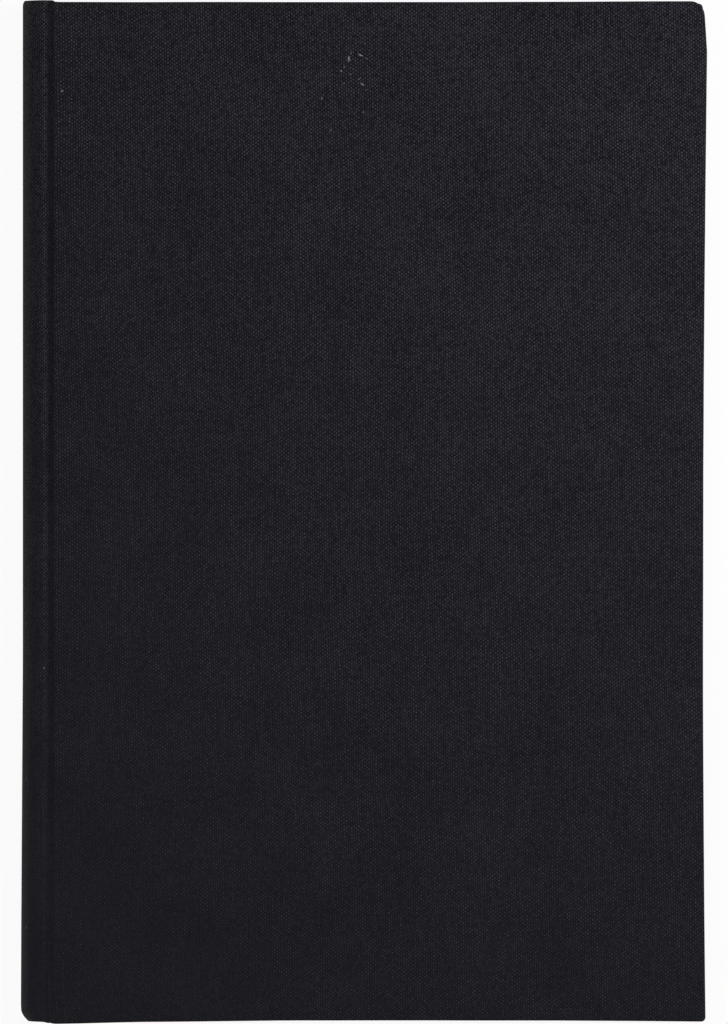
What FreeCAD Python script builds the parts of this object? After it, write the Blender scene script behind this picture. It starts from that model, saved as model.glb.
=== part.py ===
import FreeCAD, Part
import os

import Sketcher

# A case-bound ledger book, in millimetres. It lies on its back cover with the front cover up:
# the spine is at -X, the head at +Y, and the origin is at the middle of the base.
#
# Each cover is drawn in a cover frame: x runs from the outermost line of the spine to the fore
# edge, y from tail to head, and z from the outer face of the cloth into the book. The back cover
# keeps that frame. The front cover is the same cover turned over about X.

FRONT_TURN = 180.0  # degrees about X that bring a cover frame onto the front of the book

SIZES = [
    ("book_width", 204, "spine to fore edge, over the cloth"),
    ("cover_height", 304.6, "head to tail of a cover, over the cloth"),
    ("spine_lift", 0.4, "how far the spine strip sits towards the head, past the boards"),
    ("block_thick", 18, "all the leaves between the two flyleaves"),
    ("square_width", 4, "how far the covers stand past the leaves at head, tail and fore edge"),
    ("board_thick", 2.6, "binder's board of a cover"),
    ("cloth_thick", 0.4, "book cloth"),
    ("endpaper_thick", 0.2, "flyleaf, and pastedown"),
    ("cover_clearance", 0.3, "between a pastedown and its flyleaf, in the closed book"),
    ("turn_in", 15, "cloth turned in over a board's edge, measured from the outside"),
    ("corner_radius", 1.0, "corner of a cover, over the cloth"),
    ("bumped_radius", 3.2, "the bumped corner, at the head and fore edge of the front cover"),
    ("edge_radius", 0.8, "outer edge of a cover, over the cloth"),
    ("mull_thick", 0.2, "open gauze glued to the spine of the leaves and to the boards"),
    ("mull_flange", 28, "how far the gauze reaches over a board"),
    ("mull_gap", 2, "from the gauze to the turned-in cloth, and to a band's tape"),
    ("liner_thick", 0.2, "paper over the gauze"),
    ("strip_thick", 0.9, "card inside the spine of the case"),
    ("hollow_depth", 0.7, "open space between the liner and the card"),
    ("spine_round", 6.4, "how far the spine bulges past its two crests"),
    ("crest_rise", 1.7, "how far a crest stands above the flyleaf beside it"),
    ("crest_radius", 0.6, "rounding of the cloth over a crest"),
    ("joint_width", 3.6, "from a crest to the cover beside it"),
    ("joint_clearance", 0.3, "from the cloth in the joint to the cover beside it"),
    ("foot_offset", 0.15, "from the shoulder of the leaves to the foot of the crest's slope"),
    ("hinge_back", 0.4, "hinge line of a cover, from its crest towards the spine"),
    ("hinge_rise", 0.9, "hinge line of a cover, above the flyleaf beside it"),
    ("bead_width", 1.5, "bead of a head or tail band"),
    ("bead_seat", 0.25, "from the spine of the leaves to the line where the bead rests on them"),
    ("band_tape", 12, "tape of a band, down the spine of the leaves"),
]

# Levels are heights in the cover frame. Radii are about one line, the centre line of the
# rounded spine, so the leaves, gauze, liner, card and cloth nest one in the next.
LAYOUT = [
    ("half_width", "Sizes.book_width / 2"),
    ("half_cover", "Sizes.cover_height / 2"),
    ("cover_y", "-Sizes.spine_lift / 2"),
    ("spine_y", "Sizes.spine_lift / 2"),
    ("board_level", "Sizes.cloth_thick + Sizes.board_thick"),
    ("paste_level", "board_level + Sizes.endpaper_thick"),
    ("leaf_level", "paste_level + Sizes.cover_clearance"),
    ("block_level", "leaf_level + Sizes.endpaper_thick"),
    ("book_thick", "2 * block_level + Sizes.block_thick"),
    ("middle", "book_thick / 2"),
    ("half_block", "half_cover - Sizes.square_width"),
    ("leaf_fore", "Sizes.book_width - Sizes.square_width"),
    # the joint's layers: flyleaf, its folded edge, gauze and cloth
    ("fold_level", "leaf_level - Sizes.endpaper_thick"),
    ("mull_level", "fold_level - Sizes.mull_thick"),
    ("groove_level", "mull_level - Sizes.cloth_thick"),
    ("cover_near", "Sizes.spine_round + Sizes.joint_width"),
    ("joint_end", "cover_near - Sizes.joint_clearance"),
    # the rounded spine, from the cloth inwards
    ("crest_level", "leaf_level - Sizes.crest_rise"),
    ("half_crest", "middle - crest_level"),
    ("spine_radius", "(half_crest ^ 2 + Sizes.spine_round ^ 2) / (2 * Sizes.spine_round)"),
    ("strip_radius", "spine_radius - Sizes.cloth_thick"),
    ("hollow_radius", "strip_radius - Sizes.strip_thick"),
    ("turned_radius", "hollow_radius - Sizes.cloth_thick"),
    ("liner_radius", "hollow_radius - Sizes.hollow_depth"),
    ("mull_radius", "liner_radius - Sizes.liner_thick"),
    ("block_radius", "mull_radius - Sizes.mull_thick"),
    # the shoulders, where the rounded spine of the leaves meets their flat sides
    ("shoulder_sin", "Sizes.block_thick / 2 / block_radius"),
    ("shoulder_cos", "sqrt(1 - shoulder_sin ^ 2)"),
    ("shoulder", "spine_radius - block_radius * shoulder_cos"),
    ("block_round", "block_radius * (1 - shoulder_cos)"),
    # the slope from a crest down to the joint, and the cloth's inner corner under the crest
    ("foot", "shoulder + Sizes.foot_offset"),
    ("slope_run", "foot - Sizes.spine_round"),
    ("slope_drop", "groove_level - crest_level"),
    ("slope_length", "sqrt(slope_run ^ 2 + slope_drop ^ 2)"),
    ("slope_sin", "slope_drop / slope_length"),
    ("slope_cos", "slope_run / slope_length"),
    ("crest_sin", "half_crest / spine_radius"),
    ("crest_cos", "(spine_radius - Sizes.spine_round) / spine_radius"),
    ("crest_turn", "1 + crest_sin * slope_cos - crest_cos * slope_sin"),
    ("under_level", "crest_level + Sizes.cloth_thick * (crest_sin + slope_cos) / crest_turn"),
    ("under_sin", "(middle - under_level) / strip_radius"),
    ("under_cos", "sqrt(1 - under_sin ^ 2)"),
    ("under_crest", "spine_radius - strip_radius * under_cos"),
    ("under_foot", "foot - Sizes.cloth_thick * slope_sin / (1 + slope_cos)"),
    # lengths along the spine
    ("turned_half", "half_cover - Sizes.turn_in"),
    ("tape_half", "half_block - Sizes.band_tape"),
    ("half_mull", "min(turned_half; tape_half) - Sizes.mull_gap"),
    ("mull_reach", "cover_near + Sizes.cloth_thick + Sizes.mull_flange"),
    # head and tail bands
    ("bead_radius", "Sizes.bead_width / 2"),
    ("bead_foot", "block_radius - Sizes.bead_seat"),
    ("bead_notch", "bead_radius - sqrt(bead_radius ^ 2 - (mull_radius - bead_foot) ^ 2)"),
    ("band_angle", "2 * asin(shoulder_sin)"),
    # hinge lines of the covers, in the book's own frame
    ("hinge_x", "Sizes.spine_round - Sizes.hinge_back - half_width"),
    ("back_hinge_z", "leaf_level - Sizes.hinge_rise"),
    ("front_hinge_z", "book_thick - back_hinge_z"),
]

doc = FreeCAD.newDocument("ledger_book")


def driving_sheet(rows):
    """The sizes that can be set, one plain number to a row."""
    sheet = doc.addObject("Spreadsheet::Sheet", "Sizes")
    for row, (alias, number, meaning) in enumerate(rows, start=1):
        sheet.set(f"A{row}", meaning)
        sheet.set(f"B{row}", str(number))
        sheet.setAlias(f"B{row}", alias)
    return sheet


def layout_sheet(rows):
    """The places that follow from the sizes, one formula to a row."""
    sheet = doc.addObject("Spreadsheet::Sheet", "Layout")
    for row, (alias, formula) in enumerate(rows, start=1):
        sheet.set(f"B{row}", "=" + formula)
        sheet.setAlias(f"B{row}", alias)
    return sheet


sizes = driving_sheet(SIZES)
layout = layout_sheet(LAYOUT)
doc.recompute()


def number(formula):
    """What a formula over the two sheets comes to now, in millimetres."""
    return float(layout.evalExpression(formula))


def mirrored(level):
    """The same height measured from the other cover."""
    return f"Layout.book_thick - ({level})"


def new_body(label, y="Layout.cover_y", z="0", turn=0.0):
    """A body in the cover frame, or in the front cover's frame when it is turned over."""
    body = doc.addObject("PartDesign::Body", label)
    body.Label = label
    body.Placement = FreeCAD.Placement(
        FreeCAD.Vector(), FreeCAD.Rotation(FreeCAD.Vector(1, 0, 0), turn)
    )
    body.setExpression("Placement.Base.x", "-Layout.half_width")
    body.setExpression("Placement.Base.y", y)
    body.setExpression("Placement.Base.z", z)
    return body


def cover_body(side, piece):
    """A body for one piece of the front or the back cover."""
    if side == "front":
        return new_body(f"front_{piece}", z="Layout.book_thick", turn=FRONT_TURN)
    return new_body(f"back_{piece}")


def outline(body, name, plane, corners, arcs=None, level="0"):
    """A closed sketch through corners, each an (x, y) pair of formulas.

    arcs maps an edge's place in the list to its radius and a point near the arc's middle."""
    arcs = arcs or {}
    sketch = body.newObject("Sketcher::SketchObject", f"{body.Label}_{name}")
    support = next(f for f in body.Origin.OriginFeatures if f.Role == plane)
    sketch.AttachmentSupport = (support, [""])
    sketch.MapMode = "FlatFace"
    sketch.setExpression("AttachmentOffset.Base.z", level)

    points = [FreeCAD.Vector(number(x), number(y), 0) for x, y in corners]
    ends = []
    for i, start in enumerate(points):
        stop = points[(i + 1) % len(points)]
        if i in arcs:
            radius, through = arcs[i]
            middle = FreeCAD.Vector(number(through[0]), number(through[1]), 0)
            edge = sketch.addGeometry(Part.Arc(start, middle, stop))
        else:
            edge = sketch.addGeometry(Part.LineSegment(start, stop))
        forward = sketch.getPoint(edge, 1).distanceToPoint(start)
        backward = sketch.getPoint(edge, 2).distanceToPoint(start)
        ends.append((edge, 1, 2) if forward <= backward else (edge, 2, 1))

    def bind(kind, place, value, formula, label):
        made = sketch.addConstraint(Sketcher.Constraint(kind, *place, value))
        sketch.renameConstraint(made, label)
        sketch.setExpression(f"Constraints.{label}", formula)

    for i, (edge, first, last) in enumerate(ends):
        following, its_first, _ = ends[(i + 1) % len(ends)]
        sketch.addConstraint(
            Sketcher.Constraint("Coincident", edge, last, following, its_first)
        )
        bind("DistanceX", (edge, first), points[i].x, corners[i][0], f"x_{i}")
        bind("DistanceY", (edge, first), points[i].y, corners[i][1], f"y_{i}")
        if i in arcs:
            radius = arcs[i][0]
            bind("Radius", (edge,), number(radius), radius, f"radius_{i}")
    return sketch


def rectangle(body, name, near, far, half_height, level="0"):
    """A closed sketch from near to far in x, and half_height to each side in y."""
    corners = [
        (near, f"-({half_height})"),
        (far, f"-({half_height})"),
        (far, half_height),
        (near, half_height),
    ]
    return outline(body, name, "XY_Plane", corners, level=level)


def pad(body, sketch, length, both_ways=False):
    feature = body.newObject("PartDesign::Pad", f"{sketch.Label}_pad")
    feature.Profile = sketch
    feature.SideType = "Symmetric" if both_ways else "One side"
    feature.setExpression("Length", length)
    return feature


def pocket(body, sketch, depth, both_ways=False):
    feature = body.newObject("PartDesign::Pocket", f"{sketch.Label}_pocket")
    feature.Profile = sketch
    feature.SideType = "Symmetric" if both_ways else "One side"
    feature.setExpression("Length", depth)
    return feature


def fillet(body, name, radius, chosen):
    """Rounds the edges of the body's tip that chosen(edge) picks."""
    doc.recompute()
    base = body.Tip
    names = [f"Edge{i}" for i, edge in enumerate(base.Shape.Edges, start=1) if chosen(edge)]
    if not names:
        raise RuntimeError(f"{body.Label}: no edge for {name}")
    feature = body.newObject("PartDesign::Fillet", f"{body.Label}_{name}")
    feature.Base = (base, names)
    feature.setExpression("Radius", radius)
    return feature


NEAR = 1e-4  # how close an edge has to be to the place where it is looked for


def upright_at(places):
    """Picks upright edges at any of these (x, y) places."""

    def chosen(edge):
        low, high = edge.BoundBox.ZMin, edge.BoundBox.ZMax
        middle = edge.CenterOfMass
        return high - low > NEAR and any(
            abs(middle.x - x) < NEAR and abs(middle.y - y) < NEAR for x, y in places
        )

    return chosen


def at_level(level):
    """Picks every edge that lies flat at this height."""

    def chosen(edge):
        return abs(edge.BoundBox.ZMin - level) < NEAR and abs(edge.BoundBox.ZMax - level) < NEAR

    return chosen


def lengthwise_at(places):
    """Picks edges along Y at any of these (x, z) places."""

    def chosen(edge):
        middle = edge.CenterOfMass
        return edge.BoundBox.YLength > 1 and any(
            abs(middle.x - x) < NEAR and abs(middle.z - z) < NEAR for x, z in places
        )

    return chosen


def plate(body, side, inset, bottom, thickness):
    """A cover's plate, inset from the outside of the cloth, with its corners and edges rounded."""
    near = f"Layout.cover_near + {inset}"
    far = f"Sizes.book_width - {inset}"
    half = f"Layout.half_cover - {inset}"
    pad(body, rectangle(body, "plate", near, far, half, level=bottom), thickness)

    # The front cover is turned over, so its head is at -y here.
    head = -1 if side == "front" else 1
    x_near, x_far, y_end = number(near), number(far), number(half)
    sharp = [(x_near, y_end), (x_near, -y_end), (x_far, -head * y_end)]
    bumped = (x_far, head * y_end)
    if side == "front":
        fillet(body, "bumped_corner", f"Sizes.bumped_radius - {inset}", upright_at([bumped]))
    else:
        sharp.append(bumped)
    fillet(body, "corners", f"Sizes.corner_radius - {inset}", upright_at(sharp))
    fillet(body, "edges", f"Sizes.edge_radius - {inset}", at_level(number(bottom)))


def arched(body, name, front, inner, outer):
    """A closed sketch across the rounded spine, the same at front and back.

    front lists its corners on the back cover's side, from the outer arc to the inner one.
    Each arc is a radius and the x of its point nearest the spine's outermost line."""
    corners = front + [(x, mirrored(level)) for x, level in reversed(front)]
    arcs = {
        len(front) - 1: (inner[0], (inner[1], "Layout.middle")),
        len(corners) - 1: (outer[0], (outer[1], "Layout.middle")),
    }
    return outline(body, name, "XZ_Plane", corners, arcs)


def on_spine(radius, cosine, sine):
    """The (x, z) of the point on a nested arc where its angle has this cosine and sine."""
    return (f"Layout.spine_radius - {radius} * {cosine}", f"Layout.middle - {radius} * {sine}")


def nested_arc(radius):
    """A nested arc, as arched() wants it."""
    return (radius, f"Layout.spine_radius - {radius}")


def sector(body, name, inner_radius, outer_radius, cosine, sine):
    """A closed sketch between two nested arcs, cut off square at both ends."""
    front = [on_spine(radius, cosine, sine) for radius in (outer_radius, inner_radius)]
    return arched(body, name, front, nested_arc(inner_radius), nested_arc(outer_radius))


UNDER = ("Layout.under_cos", "Layout.under_sin")
SHOULDER = ("Layout.shoulder_cos", "Layout.shoulder_sin")


def text_block():
    """All the leaves as one solid, round at the spine and hollow by as much at the fore edge."""
    body = new_body("text_block")
    front = [("Layout.shoulder", "Layout.block_level"), ("Layout.leaf_fore", "Layout.block_level")]
    fore_arc = ("Layout.block_radius", "Layout.leaf_fore - Layout.block_round")
    section = arched(body, "section", front, fore_arc, nested_arc("Layout.block_radius"))
    pad(body, section, "2 * Layout.half_block", both_ways=True)
    return body


def spine_mull():
    """Gauze round the spine of the leaves, bent out at both shoulders into the joints."""
    body = new_body("spine_mull")
    front = [
        on_spine("Layout.mull_radius", *SHOULDER),
        ("Layout.shoulder - Sizes.mull_thick", "Layout.mull_level"),
        ("Layout.joint_end", "Layout.mull_level"),
        ("Layout.joint_end", "Layout.fold_level"),
        ("Layout.shoulder", "Layout.fold_level"),
        ("Layout.shoulder", "Layout.block_level"),
    ]
    section = arched(
        body,
        "section",
        front,
        nested_arc("Layout.block_radius"),
        nested_arc("Layout.mull_radius"),
    )
    pad(body, section, "2 * Layout.half_mull", both_ways=True)
    return body


def spine_liner():
    """Paper over the gauze and the tapes of both bands, as long as the leaves."""
    body = new_body("spine_liner")
    section = sector(body, "section", "Layout.mull_radius", "Layout.liner_radius", *UNDER)
    pad(body, section, "2 * Layout.half_block", both_ways=True)
    return body


def spine_strip():
    """Card that stiffens the spine of the case, from crest to crest."""
    body = new_body("spine_strip", y="Layout.spine_y")
    section = sector(body, "section", "Layout.hollow_radius", "Layout.strip_radius", *UNDER)
    pad(body, section, "2 * (Layout.half_cover - Sizes.cloth_thick)", both_ways=True)
    return body


def spine_cloth():
    """The cover cloth between the two boards: both joints, both crests and the rounded spine.

    It is turned in round the ends of the card at head and tail."""
    body = new_body("spine_cloth", y="Layout.spine_y")
    front = [
        ("Sizes.spine_round", "Layout.crest_level"),
        ("Layout.foot", "Layout.groove_level"),
        ("Layout.joint_end", "Layout.groove_level"),
        ("Layout.joint_end", "Layout.mull_level"),
        ("Layout.under_foot", "Layout.mull_level"),
        ("Layout.under_crest", "Layout.under_level"),
    ]
    skin = arched(
        body,
        "skin",
        front,
        nested_arc("Layout.strip_radius"),
        nested_arc("Layout.spine_radius"),
    )
    pad(body, skin, "2 * Layout.half_cover", both_ways=True)
    crest = (number("Sizes.spine_round"), number("Layout.crest_level"))
    far_crest = (crest[0], number(mirrored("Layout.crest_level")))
    fillet(body, "crests", "Sizes.crest_radius", lengthwise_at([crest, far_crest]))

    turned = sector(body, "turned", "Layout.turned_radius", "Layout.strip_radius", *UNDER)
    pad(body, turned, "2 * Layout.half_cover", both_ways=True)
    card = sector(body, "card", "Layout.hollow_radius", "Layout.strip_radius", *UNDER)
    pocket(body, card, "2 * (Layout.half_cover - Sizes.cloth_thick)", both_ways=True)
    bare = sector(body, "bare", "Layout.turned_radius", "Layout.hollow_radius", *UNDER)
    pocket(body, bare, "2 * Layout.turned_half", both_ways=True)
    return body


def band(label, y, turn):
    """A band at one end of the spine: a bead on the edge of the leaves, and its tape."""
    body = new_body(label, y=y, z="Layout.middle", turn=turn)
    body.setExpression("Placement.Base.x", "Layout.spine_radius - Layout.half_width")
    corners = [
        ("-Layout.mull_radius", "-Sizes.band_tape"),
        ("-Layout.block_radius", "-Sizes.band_tape"),
        ("-Layout.block_radius", "0"),
        ("-Layout.bead_foot", "0"),
        ("-Layout.mull_radius", "Layout.bead_notch"),
    ]
    bead = {3: ("Layout.bead_radius", ("-Layout.bead_foot", "Sizes.bead_width"))}
    section = outline(body, "section", "XY_Plane", corners, bead)
    feature = body.newObject("PartDesign::Revolution", f"{label}_revolution")
    feature.Profile = section
    feature.ReferenceAxis = (section, ["V_Axis"])
    feature.Midplane = True
    feature.setExpression("Angle", "Layout.band_angle")
    return body


def flyleaf(side):
    """The free leaf of an endpaper, with its edge folded back into the joint."""
    body = cover_body(side, "flyleaf")
    corners = [
        ("Layout.shoulder", "Layout.block_level"),
        ("Layout.shoulder", "Layout.fold_level"),
        ("Layout.joint_end", "Layout.fold_level"),
        ("Layout.joint_end", "Layout.leaf_level"),
        ("Layout.leaf_fore", "Layout.leaf_level"),
        ("Layout.leaf_fore", "Layout.block_level"),
    ]
    section = outline(body, "section", "XZ_Plane", corners)
    pad(body, section, "2 * Layout.half_block", both_ways=True)
    return body


def pastedown(side):
    """The half of an endpaper that is pasted to the board, in line with the leaves."""
    body = cover_body(side, "pastedown")
    sheet = rectangle(
        body,
        "sheet",
        "Layout.cover_near",
        "Layout.leaf_fore",
        "Layout.half_block",
        level="Layout.board_level",
    )
    pad(body, sheet, "Sizes.endpaper_thick")
    return body


def mull_flange(side):
    """The part of the gauze that is glued down on a board, bedded level with its face."""
    body = cover_body(side, "mull_flange")
    sheet = rectangle(
        body,
        "sheet",
        "Layout.cover_near + Sizes.cloth_thick",
        "Layout.mull_reach",
        "Layout.half_mull",
        level="Layout.board_level - Sizes.mull_thick",
    )
    pad(body, sheet, "Sizes.mull_thick")
    return body


def board(side):
    """Binder's board, pressed in where the turned-in cloth and the gauze lie on it."""
    body = cover_body(side, "board")
    plate(body, side, "Sizes.cloth_thick", "Sizes.cloth_thick", "Sizes.board_thick")

    turned_far = "Sizes.book_width - Sizes.turn_in"
    turned = outline(
        body,
        "turn_in_bed",
        "XY_Plane",
        [
            ("Layout.cover_near", "-Layout.half_cover"),
            ("Sizes.book_width", "-Layout.half_cover"),
            ("Sizes.book_width", "Layout.half_cover"),
            ("Layout.cover_near", "Layout.half_cover"),
            ("Layout.cover_near", "Layout.turned_half"),
            (turned_far, "Layout.turned_half"),
            (turned_far, "-Layout.turned_half"),
            ("Layout.cover_near", "-Layout.turned_half"),
        ],
        level="Layout.board_level",
    )
    pocket(body, turned, "Sizes.cloth_thick")

    gauze = rectangle(
        body,
        "mull_bed",
        "Layout.cover_near",
        "Layout.mull_reach",
        "Layout.half_mull",
        level="Layout.board_level",
    )
    pocket(body, gauze, "Sizes.mull_thick")
    return body


def cover_cloth(side, covered):
    """The cover cloth on one board: a plate over the cloth, less what the cloth covers."""
    whole = cover_body(side, "cover")
    plate(whole, side, "0", "0", "Layout.board_level")
    inside = doc.addObject("Part::MultiFuse", f"{side}_covered")
    inside.Shapes = covered
    cloth = doc.addObject("Part::Cut", f"{side}_cloth")
    cloth.Label = f"{side}_cloth"
    cloth.Base = whole
    cloth.Tool = inside
    return cloth


def cover(side):
    """Every piece that turns with one cover."""
    stiff = board(side)
    flange = mull_flange(side)
    return [stiff, flange, pastedown(side), cover_cloth(side, [stiff, flange])]


def check(parts):
    """Stops if any object failed, or if a sub-part isn't one valid solid."""
    for item in doc.Objects:
        if {"Invalid", "Error"} & set(item.State):
            raise RuntimeError(f"{item.Label} failed: {item.State}")
    for part in parts:
        shape = part.Shape
        if shape.isNull() or not shape.isValid() or len(shape.Solids) != 1:
            raise RuntimeError(f"{part.Label} isn't one valid solid")


def write(parts):
    os.makedirs("parts", exist_ok=True)
    for part in parts:
        part.Shape.exportStep(f"parts/{part.Label}.step")
        box = part.Shape.BoundBox
        print(
            f"{part.Label:18s} {part.Shape.Volume:11.1f} mm3  "
            f"x {box.XMin:8.2f} {box.XMax:8.2f}  y {box.YMin:8.2f} {box.YMax:8.2f}  "
            f"z {box.ZMin:6.2f} {box.ZMax:6.2f}"
        )


parts = [
    text_block(),
    spine_mull(),
    spine_liner(),
    spine_strip(),
    spine_cloth(),
    band("head_band", "Layout.cover_y + Layout.half_block", 0.0),
    band("tail_band", "Layout.cover_y - Layout.half_block", FRONT_TURN),
]
for side in ("front", "back"):
    parts.append(flyleaf(side))
    parts.extend(cover(side))

doc.recompute()
check(parts)
write(parts)
for name in ("hinge_x", "front_hinge_z", "back_hinge_z", "book_thick", "spine_radius", "shoulder"):
    print(f"{name} {number('Layout.' + name):.4f}")
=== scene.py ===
# %% [markdown]
# # A ledger book, dressed round its frame
# The frame is a case-bound ledger that lies on its back cover: spine at -X, head at +Y, Z up,
# everything in metres. Its construction is fixed, so each piece made here takes its place from the
# frame's boxes. We keep the frame's own box, and print it.

import math
import random

import bmesh
import bpy
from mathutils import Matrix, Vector


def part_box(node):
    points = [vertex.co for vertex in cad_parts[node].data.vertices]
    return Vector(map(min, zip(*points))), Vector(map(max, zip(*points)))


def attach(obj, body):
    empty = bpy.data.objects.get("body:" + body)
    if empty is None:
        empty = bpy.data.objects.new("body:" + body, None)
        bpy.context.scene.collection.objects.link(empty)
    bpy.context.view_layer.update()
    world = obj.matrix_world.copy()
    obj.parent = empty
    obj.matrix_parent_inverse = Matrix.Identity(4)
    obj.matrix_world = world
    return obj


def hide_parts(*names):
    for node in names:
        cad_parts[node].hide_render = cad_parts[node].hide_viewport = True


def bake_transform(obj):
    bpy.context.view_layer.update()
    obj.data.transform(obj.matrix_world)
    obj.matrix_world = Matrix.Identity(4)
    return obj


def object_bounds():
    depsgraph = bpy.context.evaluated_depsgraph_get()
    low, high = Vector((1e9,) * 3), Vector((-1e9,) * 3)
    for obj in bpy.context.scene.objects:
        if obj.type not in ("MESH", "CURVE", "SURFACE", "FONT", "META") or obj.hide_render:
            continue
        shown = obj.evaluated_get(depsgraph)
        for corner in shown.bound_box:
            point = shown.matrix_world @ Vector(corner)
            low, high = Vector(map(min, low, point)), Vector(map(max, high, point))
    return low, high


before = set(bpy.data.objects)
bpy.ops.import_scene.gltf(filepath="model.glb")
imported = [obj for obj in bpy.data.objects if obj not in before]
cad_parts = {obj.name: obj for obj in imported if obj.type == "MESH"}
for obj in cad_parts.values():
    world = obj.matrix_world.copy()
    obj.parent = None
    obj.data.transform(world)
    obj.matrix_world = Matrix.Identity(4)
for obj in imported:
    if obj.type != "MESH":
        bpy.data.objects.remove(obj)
frame_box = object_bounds()
print("frame", [round(x, 4) for corner in frame_box for x in corner])

# %% [markdown]
# ## The book's measures
# A bookbinder thinks in boards, squares, turn-ins and joints, and so do we. Places across the
# book are given as a distance from the spine's outermost line, because that is where the
# binder starts. The front cover is the back cover turned over, so both are made as a front
# cover, whose outside looks up, and the back one is turned over when it is done.

# %% Measures
MM = 0.001
cover_low, cover_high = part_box("front_cloth")
leaf_low, leaf_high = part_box("text_block")
fly_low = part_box("front_flyleaf")[0]
paste_low, paste_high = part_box("front_pastedown")
board_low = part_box("front_board")[0]
strip_low, strip_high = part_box("spine_strip")
flange_low, flange_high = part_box("front_mull_flange")

SPINE_LINE = frame_box[0].x
FORE = cover_high.x
NEAR_EDGE = cover_low.x  # the cover's edge beside the joint
TOP = cover_high.z
UNDER = cover_low.z  # the inner face of the front cover, where the pastedown lies
COVER_THICK = TOP - UNDER
MIDDLE = TOP / 2
COVER_Y = (cover_low.y + cover_high.y) / 2
HALF_COVER = (cover_high.y - cover_low.y) / 2
HALF_LEAF = (leaf_high.y - leaf_low.y) / 2
SPINE_LIFT = 0.4 * MM  # the spine sits this much nearer the head than the boards

CLOTH = 0.4 * MM
PAPER = 0.2 * MM
TURN_IN = 15 * MM
SPINE_RADIUS = 12.482 * MM  # outside of the cloth, about a line this far in from the spine line
STRIP_RADIUS = SPINE_RADIUS - CLOTH
STRIP_THICK = 0.9 * MM
TURNED_RADIUS = STRIP_RADIUS - STRIP_THICK - CLOTH  # inside of the cloth turned in at the ends
CREST = (6.4 * MM, 23.6 * MM)  # places in section are (across from the spine line, up)
GROOVE = 22.7 * MM  # level of the joint's floor, on top of the cloth
FOOT = (8.09 * MM, GROOVE)  # where the slope down from the crest meets that floor
FOLD_LEVEL = 22.1 * MM  # top of the endpaper's fold in the joint
SHOULDER = fly_low.x - SPINE_LINE  # where leaves and flyleaf begin, beside the spine
NEAR = NEAR_EDGE - SPINE_LINE
JOINT_END = NEAR - 0.3 * MM  # end of the joint's floor
STRIP_END = 6.9 * MM  # the card in the spine reaches this far
BLEND_END = 8.8 * MM  # the close rows across the joint are cut up to here
print("cover", round(FORE - NEAR_EDGE, 4), "by", round(2 * HALF_COVER, 4))

# %% [markdown]
# ## Bench tools
# Blender's edit-mode operators act on whatever is selected, so nearly every step is "pick some
# edges or faces by their place, then do something to them". These few helpers keep that short.
# Clicking would do for one book, but places in code can be picked again when a size changes.


# %% Picking and cutting
def x_at(distance):
    """The x of a place this far across from the spine line."""
    return SPINE_LINE + distance


def taper(stops, place):
    """The value at a place, in straight runs between (place, value) stops."""
    if place <= stops[0][0]:
        return stops[0][1]
    for (start, low), (stop, high) in zip(stops, stops[1:]):
        if place <= stop:
            return low + (high - low) * (place - start) / (stop - start)
    return stops[-1][1]


def start_block(name, low, high):
    """A cube from one corner to the other, in edit mode and ready to be shaped."""
    low, high = Vector(low), Vector(high)
    bpy.ops.object.select_all(action="DESELECT")
    bpy.ops.mesh.primitive_cube_add(size=1, location=(low + high) / 2, scale=high - low)
    bpy.ops.object.transform_apply(location=True, rotation=True, scale=True)
    bpy.context.object.name = name
    bpy.ops.object.mode_set(mode="EDIT")
    return bpy.context.object


def pick(kind, test):
    """In edit mode, selects each VERT, EDGE or FACE for which test(item, its middle) holds."""
    bpy.context.tool_settings.mesh_select_mode = [kind == name for name in ("VERT", "EDGE", "FACE")]
    mesh = bmesh.from_edit_mesh(bpy.context.edit_object.data)
    mesh.normal_update()
    for items in (mesh.faces, mesh.edges, mesh.verts):
        for item in items:
            item.select = False
    for item in {"VERT": mesh.verts, "EDGE": mesh.edges, "FACE": mesh.faces}[kind]:
        corners = [item] if kind == "VERT" else item.verts
        middle = sum((corner.co for corner in corners), Vector()) / len(corners)
        if test(item, middle):
            item.select_set(True)
    mesh.select_flush_mode()
    bmesh.update_edit_mesh(bpy.context.edit_object.data)


def extrude(move):
    bpy.ops.mesh.extrude_region_move(TRANSFORM_OT_translate={"value": move})


def bevel(test, width, steps):
    pick("EDGE", test)
    bpy.ops.mesh.bevel(offset=width, segments=steps, affect="EDGES", clamp_overlap=True)


def cut(place, normal):
    """Cuts the whole mesh along a plane, and keeps both sides."""
    bpy.ops.mesh.select_all(action="SELECT")
    bpy.ops.mesh.bisect(plane_co=place, plane_no=normal)


def cut_rows(axis, places):
    for place in places:
        point, normal = Vector(), Vector()
        point[axis], normal[axis] = place, 1
        cut(point, normal)


def weld():
    """Merges corners that have landed on one another."""
    bpy.ops.mesh.select_all(action="SELECT")
    bpy.ops.mesh.remove_doubles(threshold=1e-6)


def spaced(first, last, step):
    """Places from first to last, no more than a step apart."""
    count = max(1, math.ceil((last - first) / step - 1e-6))
    return [first + (last - first) * i / count for i in range(count + 1)]


# %% [markdown]
# Modifiers are applied as soon as they are set. A Displace modifier with a vertex group is the
# gentlest way to push a shape about: the group says what share of the push each corner gets.
# Proportional editing does the same by hand, but leaves nothing that can be given again.


# %% Pushing and finishing
def apply(piece, modifier):
    with bpy.context.temp_override(object=piece, active_object=piece):
        bpy.ops.object.modifier_apply(modifier=modifier.name)


def apply_by_share(piece, modifier, share):
    """Applies a modifier whose strength at each corner is share(its place), from 0 to 1."""
    group = piece.vertex_groups.new(name="share")
    for corner in piece.data.vertices:
        group.add([corner.index], min(1, max(0, share(corner.co))), "REPLACE")
    modifier.vertex_group = group.name
    apply(piece, modifier)
    piece.vertex_groups.remove(piece.vertex_groups["share"])


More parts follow.
